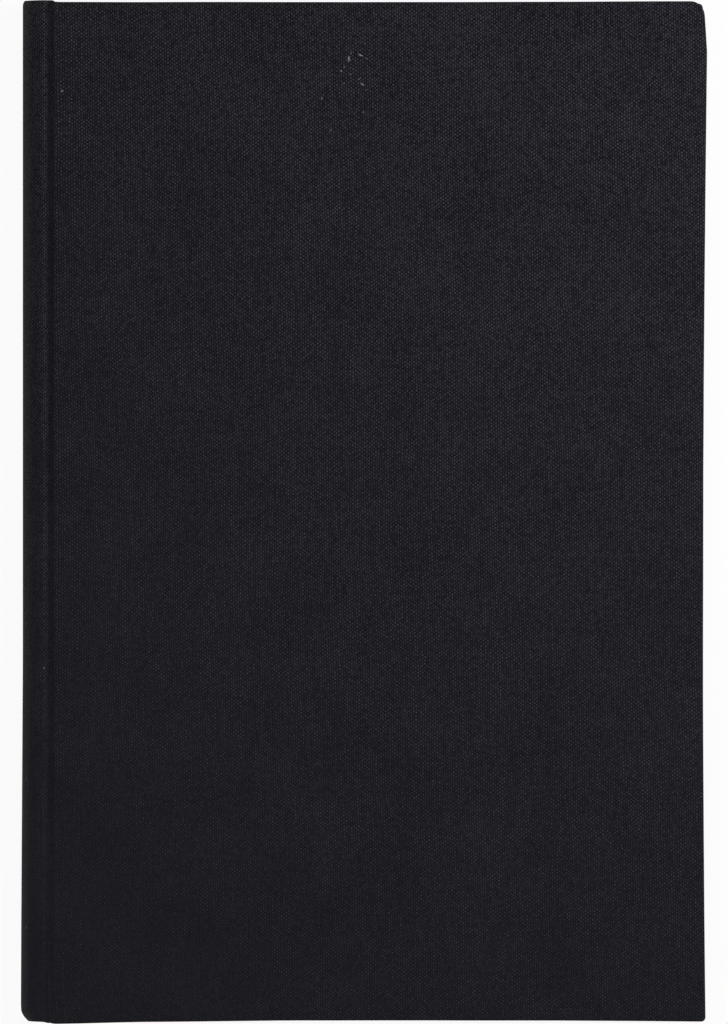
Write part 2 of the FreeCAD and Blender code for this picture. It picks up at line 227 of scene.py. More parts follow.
def push(piece, axis, distance, share):
    """Moves each corner along an axis by share(its place) of the distance."""
    modifier = piece.modifiers.new("push", "DISPLACE")
    modifier.direction = axis
    modifier.strength = distance
    modifier.mid_level = 0
    apply_by_share(piece, modifier, share)


def finish_piece(piece, angle=40):
    """Smooth shading up to an angle, and a word on what was made."""
    bpy.ops.object.select_all(action="DESELECT")
    piece.select_set(True)
    bpy.context.view_layer.objects.active = piece
    bpy.ops.object.shade_smooth_by_angle(angle=math.radians(angle))
    size = [round(x / MM, 1) for x in piece.dimensions]
    print(f"{piece.name}: {len(piece.data.polygons)} faces, {size} mm")
    return piece


# %% [markdown]
# ## The shape that both cloth and gauze follow
# From the board, both run down into the joint, up over the crest and round the spine. On the
# bench they are bent over the rounded back; here the near face of a block is extruded from
# station to station through the joint, and then spun about the spine's centre line up to the
# middle of the spine, where the front half meets the back half.


# %% From a board's near face round to the middle of the spine
SPIN_STEPS = 22
LAST_STEP = math.radians(0.5)  # small, so that the two halves meet without a crease
print("round the spine in", SPIN_STEPS + 1, "steps")


def along_book(edge):
    run = edge.verts[1].co - edge.verts[0].co
    return abs(run.y) > 0.9 * run.length


def is_at(place, spot):
    """Whether a place is on the line along the book at this (across, up)."""
    return abs(place.x - x_at(spot[0])) < 1e-6 and abs(place.z - spot[1]) < 1e-6


def follow_stations(start, stations):
    """Takes the near face, given as its (outer, inner) spots, from station to station."""
    outer, inner = start
    for next_outer, next_inner in stations:
        step = Vector((next_inner[0] - inner[0], 0, next_inner[1] - inner[1]))
        halfway = ((outer[0] + inner[0]) / 2, (outer[1] + inner[1]) / 2)
        pick("FACE", lambda face, at: is_at(at, halfway))
        extrude(step)
        moved = (outer[0] + step.x, outer[1] + step.z)
        pick("VERT", lambda vert, at: is_at(at, moved))
        rest = Vector((next_outer[0] - moved[0], 0, next_outer[1] - moved[1]))
        bpy.ops.transform.translate(value=rest)
        outer, inner = next_outer, next_inner
    halfway = ((outer[0] + inner[0]) / 2, (outer[1] + inner[1]) / 2)
    pick("FACE", lambda face, at: is_at(at, halfway))
    return outer


def run_to_spine(start, stations):
    """Goes on from the last station round to the middle of the spine."""
    outer = follow_stations(start, stations)
    turn = math.atan2(outer[1] - MIDDLE, SPINE_RADIUS - outer[0])
    centre = (x_at(SPINE_RADIUS), 0, MIDDLE)
    for steps, angle in ((SPIN_STEPS, turn - LAST_STEP), (1, LAST_STEP)):
        bpy.ops.mesh.spin(steps=steps, angle=angle, center=centre, axis=(0, 1, 0))


def on_arc(radius, spot):
    """The spot at this radius about the spine's centre line, in the direction of another."""
    away = Vector((spot[0] - SPINE_RADIUS, spot[1] - MIDDLE)).normalized() * radius
    return (SPINE_RADIUS + away.x, MIDDLE + away.y)


def faces_out(face, middle):
    """How squarely a face of a cover looks out of the book, from 1 to -1."""
    if middle.x > x_at(CREST[0]):
        return face.normal.z
    away = Vector((middle.x - x_at(SPINE_RADIUS), 0, middle.z - MIDDLE)).normalized()
    return face.normal.dot(away)


def turn_over(piece):
    """A front piece becomes a back one: half a turn about the middle line from spine to fore edge."""
    bpy.context.view_layer.objects.active = piece
    bpy.ops.object.mode_set(mode="EDIT")
    bpy.ops.mesh.select_all(action="SELECT")
    bpy.ops.transform.rotate(
        value=math.pi, orient_axis="X", center_override=(0, COVER_Y, MIDDLE)
    )
    bpy.ops.object.mode_set(mode="OBJECT")


# %% [markdown]
# ## What years on a shelf did to the case
# The front cover's fore edge has gone hollow by more than a millimetre, its tail edge by about
# half as much, and the corner at head and fore edge was bumped in. The back cover is only rubbed
# back a little. The spine was pressed in, leans out towards the tail, and is rubbed round at its
# ends. This could be sculpted by hand, but pushes given by a few numbers can be given again, so
# boards and spine card take the same ones as the cloth over them, and never come through it.

# %% Worn outline
FORE_OUT = 0.45 * MM  # the head end of the fore edge has spread by this much
FORE_HOLLOW = 1.14 * MM
DEEPEST = -42 * MM  # where the fore edge is most hollow, from the middle towards the tail
HOLLOW_TO_HEAD = 179 * MM  # how far from there it would take to get straight again
HOLLOW_TO_TAIL = 142 * MM
TAIL_HOLLOW = 0.64 * MM
TAIL_DROP = 0.35 * MM  # beside the joint the tail edge stands out instead
HEAD_FLARE = 0.24 * MM
CORNER_PUSH = 0.78 * MM
BACK_FORE_WORN = 0.5 * MM
BACK_TAIL_WORN = 0.25 * MM
EDGE_BAND = 18 * MM  # how far in from an edge the cover moves as one with it
NEAR_EASED = 0.6 * MM  # the groove's walls have eased this far towards the spine
GROOVE_FILLED = 0.7 * MM  # how much shallower the joint's groove is at the tail
print("hollow by", round(FORE_HOLLOW / MM, 2), "and", round(TAIL_HOLLOW / MM, 2), "mm")


def hollow_share(y):
    """How hollow the fore edge is at y: not at all at the head, and four tenths at the tail."""
    span = HOLLOW_TO_HEAD if y > DEEPEST else HOLLOW_TO_TAIL
    return max(0, 1 - ((y - DEEPEST) / span) ** 2)


def near_fore(x):
    return taper([(FORE - 4 * EDGE_BAND, 0), (FORE - EDGE_BAND, 1)], x)


def wear_outline(piece):
    tail, head = COVER_Y - HALF_COVER, COVER_Y + HALF_COVER
    tail_run = [(x_at(12 * MM), 0), (x_at(80 * MM), 1), (x_at(160 * MM), 1), (FORE, 0.5)]
    tail_band = [(tail + EDGE_BAND, 1), (tail + 4 * EDGE_BAND, 0)]
    drop_run = [(x_at(6.4 * MM), 0), (x_at(8 * MM), 1), (x_at(14 * MM), 0.9), (x_at(34 * MM), 0)]
    head_run = [(FORE - 70 * MM, 0), (FORE - 5 * MM, 1), (FORE, 0.3)]
    head_band = [(head - 3 * EDGE_BAND, 0), (head - EDGE_BAND, 1)]
    corner_run = [(head - 15 * MM, 0), (head - 7 * MM, 0.6), (head - 3 * MM, 1)]
    push(piece, "X", FORE_OUT, lambda at: near_fore(at.x))
    push(piece, "X", -FORE_HOLLOW, lambda at: hollow_share(at.y) * near_fore(at.x))
    push(piece, "Y", TAIL_HOLLOW, lambda at: taper(tail_run, at.x) * taper(tail_band, at.y))
    push(piece, "Y", -TAIL_DROP, lambda at: taper(drop_run, at.x) * taper(tail_band, at.y))
    push(piece, "Y", HEAD_FLARE, lambda at: taper(head_run, at.x) * taper(head_band, at.y))
    push(piece, "X", -CORNER_PUSH, lambda at: taper(corner_run, at.y) * near_fore(at.x))


def wear_back_outline(piece):
    tail = COVER_Y - HALF_COVER
    tail_run = [(x_at(12 * MM), 0), (x_at(60 * MM), 1)]
    tail_band = [(tail + EDGE_BAND, 1), (tail + 4 * EDGE_BAND, 0)]
    push(piece, "X", -BACK_FORE_WORN, lambda at: near_fore(at.x))
    push(piece, "Y", BACK_TAIL_WORN, lambda at: taper(tail_run, at.x) * taper(tail_band, at.y))


# %% [markdown]
# The spine wears in its own way. It leans out towards the tail, it is pressed in, most at its
# flanks, and its ends are rubbed away: a little at the head, and by two millimetres at the tail.

# %% Worn spine
SPINE_PRESSED = 0.24 * MM
SPINE_LEAN = 0.6 * MM
SPINE_LONGER = 0.16 * MM
ROUNDED_ENDS = ((1, 1.3 * MM, 0.45 * MM), (-1, 3.9 * MM, 2.1 * MM))  # head and tail: length, depth


def end_share(y, length, sign):
    """How far a place is into the rounded-off end of the spine, at the head (1) or tail (-1)."""
    end = sign * (COVER_Y + SPINE_LIFT) + HALF_COVER
    into = min(1, max(0, (sign * y - end + length) / length))
    return into**2


def wear_spine(piece):
    """The spine leans out towards the tail, is pressed in, and has its ends rubbed round."""
    lean = [(COVER_Y - HALF_COVER, 1), (-125 * MM, 0.8), (-90 * MM, 0.45), (-45 * MM, 0)]
    back = [(x_at(5 * MM), 1), (x_at(JOINT_END), 0)]
    flank = [(x_at(1.5 * MM), 0.3), (x_at(5 * MM), 1), (x_at(JOINT_END), 0)]
    round_off = [(x_at(0), 1), (x_at(CREST[0]), 0)]
    push(piece, "X", -SPINE_LEAN, lambda at: taper(lean, at.y) * taper(back, at.x))
    push(piece, "X", SPINE_PRESSED, lambda at: taper(flank, at.x))
    stands_out = [(HALF_COVER - EDGE_BAND, 0), (HALF_COVER - 0.5 * EDGE_BAND, 1)]
    over_spine = [(x_at(9.0 * MM), 1), (x_at(NEAR), 0)]
    for sign in (-1, 1):

        def past_end(at):
            return taper(over_spine, at.x) * taper(stands_out, sign * (at.y - COVER_Y))

        push(piece, "Y", sign * SPINE_LONGER, past_end)
    for sign, length, depth in ROUNDED_ENDS:
        push(piece, "X", depth, lambda at: end_share(at.y, length, sign) * taper(round_off, at.x))


# %% [markdown]
# ## The cover cloth
# One piece of buckram covers a real case. It is glued over both boards and the spine's card,
# and its edges are turned in 15 mm over the boards' edges and the card's ends. We make it in
# two halves that meet down the middle of the spine, because each half has to bend with its own
# cover. The way round a cloth as thin as this is to model what it wraps, round every edge as
# the cloth is round, take away the faces where there is no cloth, and only then give it its
# thickness, inwards.

# %% The wrapped shape
OUTER_RIM = [(JOINT_END, 0.3), (NEAR + 0.5 * MM, 0.8)]
INNER_RIM = [(NEAR, 0.15), (NEAR + 1.5 * MM, 0.4)]
TURNED_HALF = HALF_COVER - TURN_IN
ROW = 6 * MM
END_ROWS = (0.6, 1.1, 1.7, 2.4, 3.2)  # mm from an end of the spine, where it is rounded off
CORNER = 1.3 * MM
BUMPED_CORNER = 4.0 * MM  # at head and fore edge, of the front cover only
# Each fold of the section: where it is, how wide it is rounded, and in how many steps.
FOLDS = [
    (CREST, 0.55 * MM, 4),
    (FOOT, 0.7 * MM, 4),
    ((JOINT_END, GROOVE), 0.6 * MM, 4),
    ((NEAR, TOP), 1.0 * MM, 6),
]
print("folds in the section:", len(FOLDS))


def round_rims(piece):
    """Rounds the folds at head, tail and fore edge: wide on a board, narrow in the joint."""
    mesh = bmesh.from_edit_mesh(piece.data)
    mesh.normal_update()
    weight = mesh.edges.layers.float.new("bevel_weight_edge")
    for edge in mesh.edges:
        faces = edge.link_faces
        if len(faces) != 2 or faces[0].normal.angle(faces[1].normal) < math.radians(70):
            continue
        middle = (edge.verts[0].co + edge.verts[1].co) / 2
        skin = max((faces_out(face, middle) for face in faces), key=abs)
        edge[weight] = taper(OUTER_RIM if skin > 0 else INNER_RIM, middle.x - SPINE_LINE)
    bmesh.update_edit_mesh(piece.data)
    bpy.ops.object.mode_set(mode="OBJECT")
    modifier = piece.modifiers.new("rims", "BEVEL")
    modifier.limit_method = "WEIGHT"
    modifier.width = 1 * MM
    modifier.segments = 5
    modifier.use_clamp_overlap = False
    apply(piece, modifier)
    bpy.ops.object.mode_set(mode="EDIT")


def upright_at(x, y):
    """Picks the cover's upright corner edge at a place."""

    def chosen(edge, at):
        run = edge.verts[1].co - edge.verts[0].co
        there = abs(at.x - x) < 1e-5 and abs(at.y - y) < 1e-5
        return there and abs(run.z) > 0.9 * run.length

    return chosen


# %% [markdown]
# A block of the cover's size is the start. Its near face is drawn out through the joint and
# round the spine, the folds of the section are rounded, and rows of corners are cut wherever the
# cloth will bend or be pushed. Sweeping a drawn section would leave no edges to turn the cloth
# round at head and tail.


# %% Wrap the cover
def wrapped_cover(name, head_corner):
    low, high = (NEAR_EDGE, COVER_Y - HALF_COVER, UNDER), (FORE, COVER_Y + HALF_COVER, TOP)
    piece = start_block(name, low, high)
    stations = [
        ((JOINT_END, GROOVE), (JOINT_END, FOLD_LEVEL + 0.1 * MM)),
        (FOOT, (FOOT[0], FOLD_LEVEL + 0.02 * MM)),
        (CREST, on_arc(TURNED_RADIUS, CREST)),
    ]
    run_to_spine(((NEAR, TOP), (NEAR, UNDER)), stations)
    pick("FACE", lambda face, at: abs(at.z - MIDDLE) < 1e-6 and at.x < x_at(CREST[0]))
    bpy.ops.mesh.delete(type="FACE")  # the other half goes on here

    for spot, width, steps in FOLDS:
        bevel(lambda edge, at: along_book(edge) and is_at(at, spot), width, steps)

    pick("EDGE", lambda edge, at: all(abs(face.normal.y) > 0.99 for face in edge.link_faces))
    bpy.ops.mesh.dissolve_edges(use_verts=False)
    bevel(upright_at(FORE, COVER_Y - HALF_COVER), CORNER, 5)
    bevel(upright_at(FORE, COVER_Y + HALF_COVER), head_corner, 10)
    round_rims(piece)

    cut_rows(0, [x_at(place) for place in spaced(STRIP_END, BLEND_END, 0.16 * MM)])
    cut_rows(0, spaced(x_at(12 * MM), FORE - TURN_IN, ROW))
    turned = [COVER_Y - TURNED_HALF, COVER_Y + TURNED_HALF]
    cut_rows(1, spaced(*turned, ROW))
    cut_rows(1, [turned[0] - 5 * MM, turned[0] - 10 * MM, turned[1] + 5 * MM, turned[1] + 10 * MM])
    for sign in (-1, 1):
        for row in END_ROWS:
            pick("FACE", lambda face, at: at.x < x_at(STRIP_END))
            end = COVER_Y + sign * (HALF_COVER - row * MM)
            bpy.ops.mesh.bisect(plane_co=(0, end, 0), plane_no=(0, 1, 0))
    return piece


# %% [markdown]
# Inside, there is cloth only on the turn-ins. At the two outer corners the turned-in
# edges are mitred: the cloth is cut across the corner so that its edges meet on the diagonal,
# and that line shows as a fine valley when the cover is open. Two cut sheets could be laid edge
# to edge there, but one mesh with a crease in it can't come apart.


# %% Open the inside and mitre the corners
def open_inside():
    turned_fore = FORE - TURN_IN

    def bare(face, at):
        inside = abs(at.y - COVER_Y) < TURNED_HALF and at.x < turned_fore
        return inside and faces_out(face, at) < -0.3

    pick("FACE", bare)
    bpy.ops.mesh.delete(type="FACE")


def mitre():
    for side in (-1, 1):
        corner = Vector((FORE - TURN_IN, COVER_Y + side * TURNED_HALF, UNDER))
        across = Vector((1, -side, 0)).normalized()
        reach = TURN_IN - 0.5 * MM

        def in_corner(face, at):
            out = (at.x - corner.x, side * (at.y - corner.y))
            return face.normal.z < -0.9 and min(out) > -1e-4 and max(out) < reach + 2 * MM

        pick("FACE", in_corner)
        bpy.ops.mesh.bisect(plane_co=corner, plane_no=across)

        def on_mitre(edge, at):
            run = edge.verts[1].co - edge.verts[0].co
            flat = abs(at.z - UNDER) < 1e-5 and abs(run.dot(across)) < 1e-6
            return flat and abs((at - corner).dot(across)) < 1e-5 and at.x > corner.x

        bevel(on_mitre, 0.15 * MM, 2)

        def in_valley(vert, at):
            off = at - corner
            return abs(at.z - UNDER) < 1e-5 and abs(off.dot(across)) < 2e-5 and off.x > 1e-4

        pick("VERT", in_valley)
        bpy.ops.transform.translate(value=(0, 0, 0.12 * MM))


# %% [markdown]
# Cloth threads follow the cloth. A pattern on plain object places would stretch where the cloth
# goes round an edge, so the weave is laid on with a UV map of its own, in metres: one direction
# runs across the book from the middle of the spine, the other from tail to head, and both carry
# on over every fold. The half that will be turned over counts backwards, so that the threads
# pass from one half to the other unbroken. Over spine and joint the distance across is measured
# along the outer line of the section.


# %% Lay the weave along the cloth
def section_line(piece, facing):
    """The outer line from the middle of the spine to the board, as (x, z)."""
    row = set()
    for face in piece.data.polygons:
        middle = face.center
        near = abs(middle.y) < 2 * ROW and middle.x < x_at(NEAR + 3 * MM)
        if near and faces_out(face, middle) > facing:
            for index in face.vertices:
                at = piece.data.vertices[index].co
                row.add((round(at.x, 6), round(at.z, 6)))
    centre = (x_at(SPINE_RADIUS), MIDDLE)
    line = sorted(row, key=lambda at: math.atan2(at[1] - centre[1], centre[0] - at[0]))
    lengths = [0.0]
    for first, second in zip(line, line[1:]):
        lengths.append(lengths[-1] + math.dist(first, second))
    return line, lengths


def along_section(line, lengths, place):
    """(distance along the line, distance from it) of the nearest point on it."""
    best = (math.inf, 0.0)
    for i, (first, second) in enumerate(zip(line, line[1:])):
        run = (second[0] - first[0], second[1] - first[1])
        size = run[0] ** 2 + run[1] ** 2
        off = (place.x - first[0], place.z - first[1])
        part = min(1, max(0, (off[0] * run[0] + off[1] * run[1]) / size))
        gap = math.dist((place.x, place.z), (first[0] + part * run[0], first[1] + part * run[1]))
        if gap < best[0]:
            best = (gap, lengths[i] + part * math.sqrt(size))
    return best[1], best[0]


# %% [markdown]
# With the section's length known, each corner gets its run and its place along the book. The
# gauze is a plain sheet. The cover's cloth also goes down its edges and back in underneath, so
# what is turned in goes on counting from the edge that it was turned over.


# %% Give each corner its threads
def lay_run(piece, line, lengths):
    """A plain map for a sheet with nothing turned in: across by its length, along by y."""
    straight = lengths[-1] - line[-1][0]
    uv = piece.data.uv_layers.new(name="threads")
    for loop in piece.data.loops:
        at = piece.data.vertices[loop.vertex_index].co
        run = straight + at.x
        if at.x < line[-1][0]:
            run = along_section(line, lengths, at)[0]
        uv.data[loop.index].uv = (run, at.y)


def lay_weave(piece, direction):
    """The map of a cover's cloth. Returns what turns x on a board into a place across."""
    line, lengths = section_line(piece, -0.2)
    joint_end = line[-1][0]
    straight = lengths[-1] - joint_end  # turns x into a distance from the middle of the spine
    uv = piece.data.uv_layers.new(name="threads")
    known = {}
    for face in piece.data.polygons:
        middle, normal = face.center, face.normal
        side = 1 if middle.y > COVER_Y else -1
        inside = faces_out(face, middle) < -0.6
        fore_side = middle.x > joint_end and abs(normal.x) > abs(normal.y)
        if inside:
            fore_side = FORE - middle.x < HALF_COVER - abs(middle.y - COVER_Y)
        for loop in face.loop_indices:
            index = piece.data.loops[loop].vertex_index
            at = piece.data.vertices[index].co
            if index not in known:
                if at.x < joint_end:
                    known[index] = along_section(line, lengths, at)
                else:
                    known[index] = (straight + at.x, TOP - at.z)
            run, depth = known[index]
            out = at.y - COVER_Y
            if inside and fore_side:
                run = straight + 2 * FORE + COVER_THICK - at.x
            elif inside:
                out = side * (2 * HALF_COVER + depth - abs(out))
            elif fore_side:
                run += depth
            elif abs(normal.y) > 0.1:
                out += side * depth
            uv.data[loop].uv = (direction * run, direction * out)
    print("threads run", round(lengths[-1] / MM, 2), "mm from the middle of the spine to a board")
    return straight


# %% [markdown]
# Two more tools finish a sheet. Nothing glued is quite flat, so a slow cloud pushes it in and out
# by less than a tenth of a millimetre. Then it gets its thickness, inwards, so that the outside
# stays where it was put.


# %% Unevenness and thickness
def undulate(piece, height, size, detail):
    """A faint unevenness, as cloth and paper have over glue and board. None at mid-spine."""
    clouds = bpy.data.textures.new(f"{piece.name}_unevenness", "CLOUDS")
    clouds.noise_scale = size
    clouds.noise_depth = detail
    modifier = piece.modifiers.new("unevenness", "DISPLACE")
    modifier.texture = clouds
    modifier.strength = height
    modifier.mid_level = 0.5
    off_seam = [(x_at(1 * MM), 0), (x_at(5 * MM), 1)]
    apply_by_share(piece, modifier, lambda at: taper(off_seam, at.x))


def thicken(piece, thickness, share):
    """Gives a shape its thickness inwards, and at each place this share of it."""
    modifier = piece.modifiers.new("thickness", "SOLIDIFY")
    modifier.thickness = thickness
    modifier.offset = -1
    apply_by_share(piece, modifier, share)


# %% [markdown]
# Now the halves themselves. Cloth lies double where it is turned in at the ends of the joint,
# so it is higher there. Years have filled the front joint's groove towards the tail, eased its
# walls over to the spine, and pressed the doubled cloth thin. Sculpting would do for one half,
# but a push with a share for each place can be given to both in the same way.

# %% The two halves of the cover cloth
DOUBLED = 0.2 * MM  # how much higher the joint's floor is where the cloth lies double
OUTSIDE = GROOVE - 0.25 * MM  # above this is the cloth's outside, and below it what is turned in
CLOTH_UNEVEN = 0.14 * MM
CLOUD = 0.035  # metres across one swelling of that unevenness
THREAD_START = {}  # for each side, what turns x on its board into a place across the threads


def case_cloth(side):
    front = side == "front"
    piece = wrapped_cover(f"case_cloth_{side}", BUMPED_CORNER if front else CORNER)
    open_inside()
    mitre()
    bpy.ops.object.mode_set(mode="OBJECT")

    lift = SPINE_LIFT if front else -SPINE_LIFT
    ends = [(TURNED_HALF - 1 * MM, 0), (TURNED_HALF + 1 * MM, 1)]
    joint = [(x_at(8.0 * MM), 0), (x_at(8.4 * MM), 1), (x_at(JOINT_END), 1), (x_at(NEAR), 0)]
    spine = [(x_at(9.0 * MM), 1), (x_at(NEAR) + 0.6 * MM, 0)]

    def doubled(at):
        outer = at.z > OUTSIDE
        return outer * taper(joint, at.x) * taper(ends, abs(at.y - COVER_Y))

    def pressed(at):
        across = [(x_at(7.2 * MM), 0), (x_at(7.6 * MM), 1), (x_at(NEAR), 1), (x_at(NEAR) + MM, 0)]
        return 1 - 0.5 * taper(across, at.x) * taper(ends, abs(at.y - COVER_Y))

    def filled(at):
        ridge, floor = x_at(CREST[0] + 0.2 * MM), x_at(FOOT[0])
        level = [(ridge, 0), (floor, 1), (x_at(JOINT_END), 1), (x_at(NEAR), 0)]
        outer = at.z > OUTSIDE
        towards_tail = [(-HALF_COVER, 1), (HALF_COVER, 0)]
        return outer * taper(level, at.x) * taper(towards_tail, at.y)

    def eased(at):
        groove = [(x_at(7 * MM), 0), (x_at(8.1 * MM), 0.45), (x_at(JOINT_END), 1)]
        on_board = [(x_at(NEAR) + MM, 1), (x_at(NEAR) + 4 * MM, 0)]
        outer = at.z > OUTSIDE
        return outer * min(taper(groove, at.x), taper(on_board, at.x))

    push(piece, "Z", DOUBLED, doubled)
    if front:
        push(piece, "Z", GROOVE_FILLED, filled)
    push(piece, "Y", lift, lambda at: taper(spine, at.x))
    if front:
        wear_outline(piece)
    THREAD_START[side] = lay_weave(piece, 1 if front else -1)
    undulate(piece, CLOTH_UNEVEN, CLOUD, 1 if front else 2)
    push(piece, "X", -NEAR_EASED, eased)
    thicken(piece, CLOTH, pressed)
    if not front:
        turn_over(piece)
        wear_back_outline(piece)
    wear_spine(piece)
    return finish_piece(piece, 50)


cloths = {side: case_cloth(side) for side in ("front", "back")}

# %% [markdown]
# ## Boards
# Binder's board is cut square. In a real case nothing of it shows, but its edges carry the
# cloth's shape, so its corners are rounded a little less than the cloth's. Inside, the turned-in
# cloth and the gauze lie in shallow beds pressed into it. Beds could be cut out of a full block;
# we start with a thinner one and add the rest by two extrusions of the inner face: one for all
# that no turn-in covers, and one for what is left around the gauze.

# %% Cut a board
BOARD_LOW = Vector((board_low.x, COVER_Y - HALF_COVER + CLOTH, UNDER))
BOARD_HIGH = Vector((FORE - CLOTH, COVER_Y + HALF_COVER - CLOTH, TOP - CLOTH))
HALF_FLANGE = (flange_high.y - flange_low.y) / 2
BED = 0.2 * MM
BOARD_CORNER = 1.0 * MM
BOARD_BUMPED = 3.9 * MM


def cut_board(side):
    front = side == "front"
    low = BOARD_LOW + Vector((0, 0, 2 * BED))
    piece = start_block(f"board_{side}", low, BOARD_HIGH)
    bevel(upright_at(FORE - CLOTH, low.y), BOARD_CORNER, 4)
    bevel(upright_at(FORE - CLOTH, BOARD_HIGH.y), BOARD_BUMPED if front else BOARD_CORNER, 8)
    near_top = (board_low.x - SPINE_LINE, BOARD_HIGH.z)
    bevel(lambda edge, at: along_book(edge) and is_at(at, near_top), 0.6 * MM, 4)

    def top_rim(edge, at):
        level = all(abs(corner.co.z - BOARD_HIGH.z) < 1e-6 for corner in edge.verts)
        return level and min(face.normal.z for face in edge.link_faces) < 0.1

    bevel(top_rim, 0.4 * MM, 3)
    weld()
    cut_rows(1, [COVER_Y + half for half in (-TURNED_HALF, -HALF_FLANGE, HALF_FLANGE, TURNED_HALF)])
    cut_rows(0, [flange_high.x, FORE - TURN_IN])
    cut_rows(0, spaced(board_low.x + 5 * MM, FORE - 5 * MM, 12 * MM))
    cut_rows(1, spaced(low.y + 4 * MM, BOARD_HIGH.y - 4 * MM, 12 * MM))

    def bare(face, at):
        inside = abs(at.y - COVER_Y) < TURNED_HALF and at.x < FORE - TURN_IN
        return face.normal.z < -0.9 and inside

    def off_gauze(face, at):
        beside = abs(at.y - COVER_Y) > HALF_FLANGE or at.x > flange_high.x
        return bare(face, at) and beside

    for zone in (bare, off_gauze):
        pick("FACE", zone)
        extrude((0, 0, -BED))
    bpy.ops.object.mode_set(mode="OBJECT")
    if front:
        wear_outline(piece)
    else:
        turn_over(piece)
        wear_back_outline(piece)
    return finish_piece(piece)


boards = {side: cut_board(side) for side in ("front", "back")}

# %% [markdown]
# The back of the case is stiffened by a strip of card, rolled round while it is damp. A thin
# block is spun about the spine's centre line both ways, up to the ridges beside the joints.

# %% Roll the spine's card
HALF_STRIP = math.asin((strip_high.z - MIDDLE) / STRIP_RADIUS)


def roll(half_height, radius, half_angle, steps):
    """Spins both ends of a thin upright block round the spine, each up to half the angle."""
    half_step = math.asin(half_height / radius)
    for sign in (-1, 1):
        pick("FACE", lambda face, at: sign * (at.z - MIDDLE) > 0.9 * half_height)
        turn = -sign * (half_angle - half_step)  # a positive spin goes down the spine
        centre = (x_at(SPINE_RADIUS), 0, MIDDLE)
        bpy.ops.mesh.spin(steps=steps, angle=turn, center=centre, axis=(0, 1, 0))


def rolled_card():
    half = 0.3 * MM
    low = (x_at(SPINE_RADIUS - STRIP_RADIUS), strip_low.y, MIDDLE - half)
    high = (low[0] + STRIP_THICK, strip_high.y, MIDDLE + half)
    piece = start_block("spine_card", low, high)
    roll(half, STRIP_RADIUS, HALF_STRIP, 24)
    ends = [sign * (HALF_COVER - row * MM) for sign in (-1, 1) for row in (0.3, *END_ROWS)]
    cut_rows(1, [COVER_Y + SPINE_LIFT + end for end in ends])
    cut_rows(1, spaced(COVER_Y - 147 * MM, COVER_Y + 147 * MM, 12 * MM))
    bpy.ops.object.mode_set(mode="OBJECT")
    wear_spine(piece)
    return finish_piece(piece)


spine_card = rolled_card()

# %% [markdown]
# ## Endpapers
# An endpaper is one folded sheet. Half of it is pasted to the board, half of it is the first
# free leaf, and the fold sits in the joint. The pasted half has to bend there, so it gets close
# rows of corners across the joint, and it shows the turned-in cloth and the gauze below it as
# faint steps, because the paste draws the paper down round them.

# %% Fold the endpapers
PASTED_FLAT = 0.09 * MM  # how far the paper steps over the turned-in cloth
STEP_HALF = 0.4 * MM  # half the width of such a step


def fold_edge(edge, at):
    return along_book(edge) and abs(at.x - x_at(SHOULDER)) < 1e-6


def pastedown(side):
    low = Vector((NEAR_EDGE, leaf_low.y, paste_low.z))
    piece = start_block(f"pastedown_{side}", low, (leaf_high.x, leaf_high.y, paste_high.z))
    spots = ((NEAR, paste_high.z), (NEAR, paste_low.z))
    stations = (
        ((JOINT_END, FOLD_LEVEL + 0.05 * MM), (JOINT_END, FOLD_LEVEL - 0.15 * MM)),
        ((SHOULDER, FOLD_LEVEL), (SHOULDER, FOLD_LEVEL - PAPER)),
    )
    follow_stations(spots, stations)
    bevel(lambda edge, at: fold_edge(edge, at) and at.z > FOLD_LEVEL - 0.1 * MM, 0.17 * MM, 3)
    cut_rows(0, [x_at(place) for place in spaced(SHOULDER + 0.2 * MM, BLEND_END, 0.14 * MM)])
    steps = [FORE - TURN_IN, flange_high.x]
    cut_rows(0, [step + off for step in steps for off in (-STEP_HALF, STEP_HALF)])
    cut_rows(0, spaced(flange_high.x + 6 * MM, FORE - TURN_IN - 4 * MM, 8 * MM))
    ends = [sign * half for sign in (-1, 1) for half in (TURNED_HALF, HALF_FLANGE)]
    cut_rows(1, [COVER_Y + end + off for end in ends for off in (-STEP_HALF, STEP_HALF)])
    cut_rows(1, spaced(COVER_Y - HALF_FLANGE + 6 * MM, COVER_Y + HALF_FLANGE - 6 * MM, 8 * MM))
    bpy.ops.object.mode_set(mode="OBJECT")

    def over_edges(at):
        end = [(TURNED_HALF - STEP_HALF, 0), (TURNED_HALF + STEP_HALF, 1)]
        fore = [(FORE - TURN_IN - STEP_HALF, 0), (FORE - TURN_IN + STEP_HALF, 1)]
        gauze_side = [(flange_high.x - STEP_HALF, 1), (flange_high.x + STEP_HALF, 0)]
        gauze_end = [(HALF_FLANGE - STEP_HALF, 1), (HALF_FLANGE + STEP_HALF, 0)]
        out = abs(at.y - COVER_Y)
        on_cloth = max(taper(end, out), taper(fore, at.x))
        on_gauze = 0.6 * taper(gauze_side, at.x) * taper(gauze_end, out)
        return max(on_cloth, on_gauze) if at.x > x_at(NEAR) else 0

    push(piece, "Z", -PASTED_FLAT, over_edges)
    if side == "back":
        turn_over(piece)
    return finish_piece(piece)


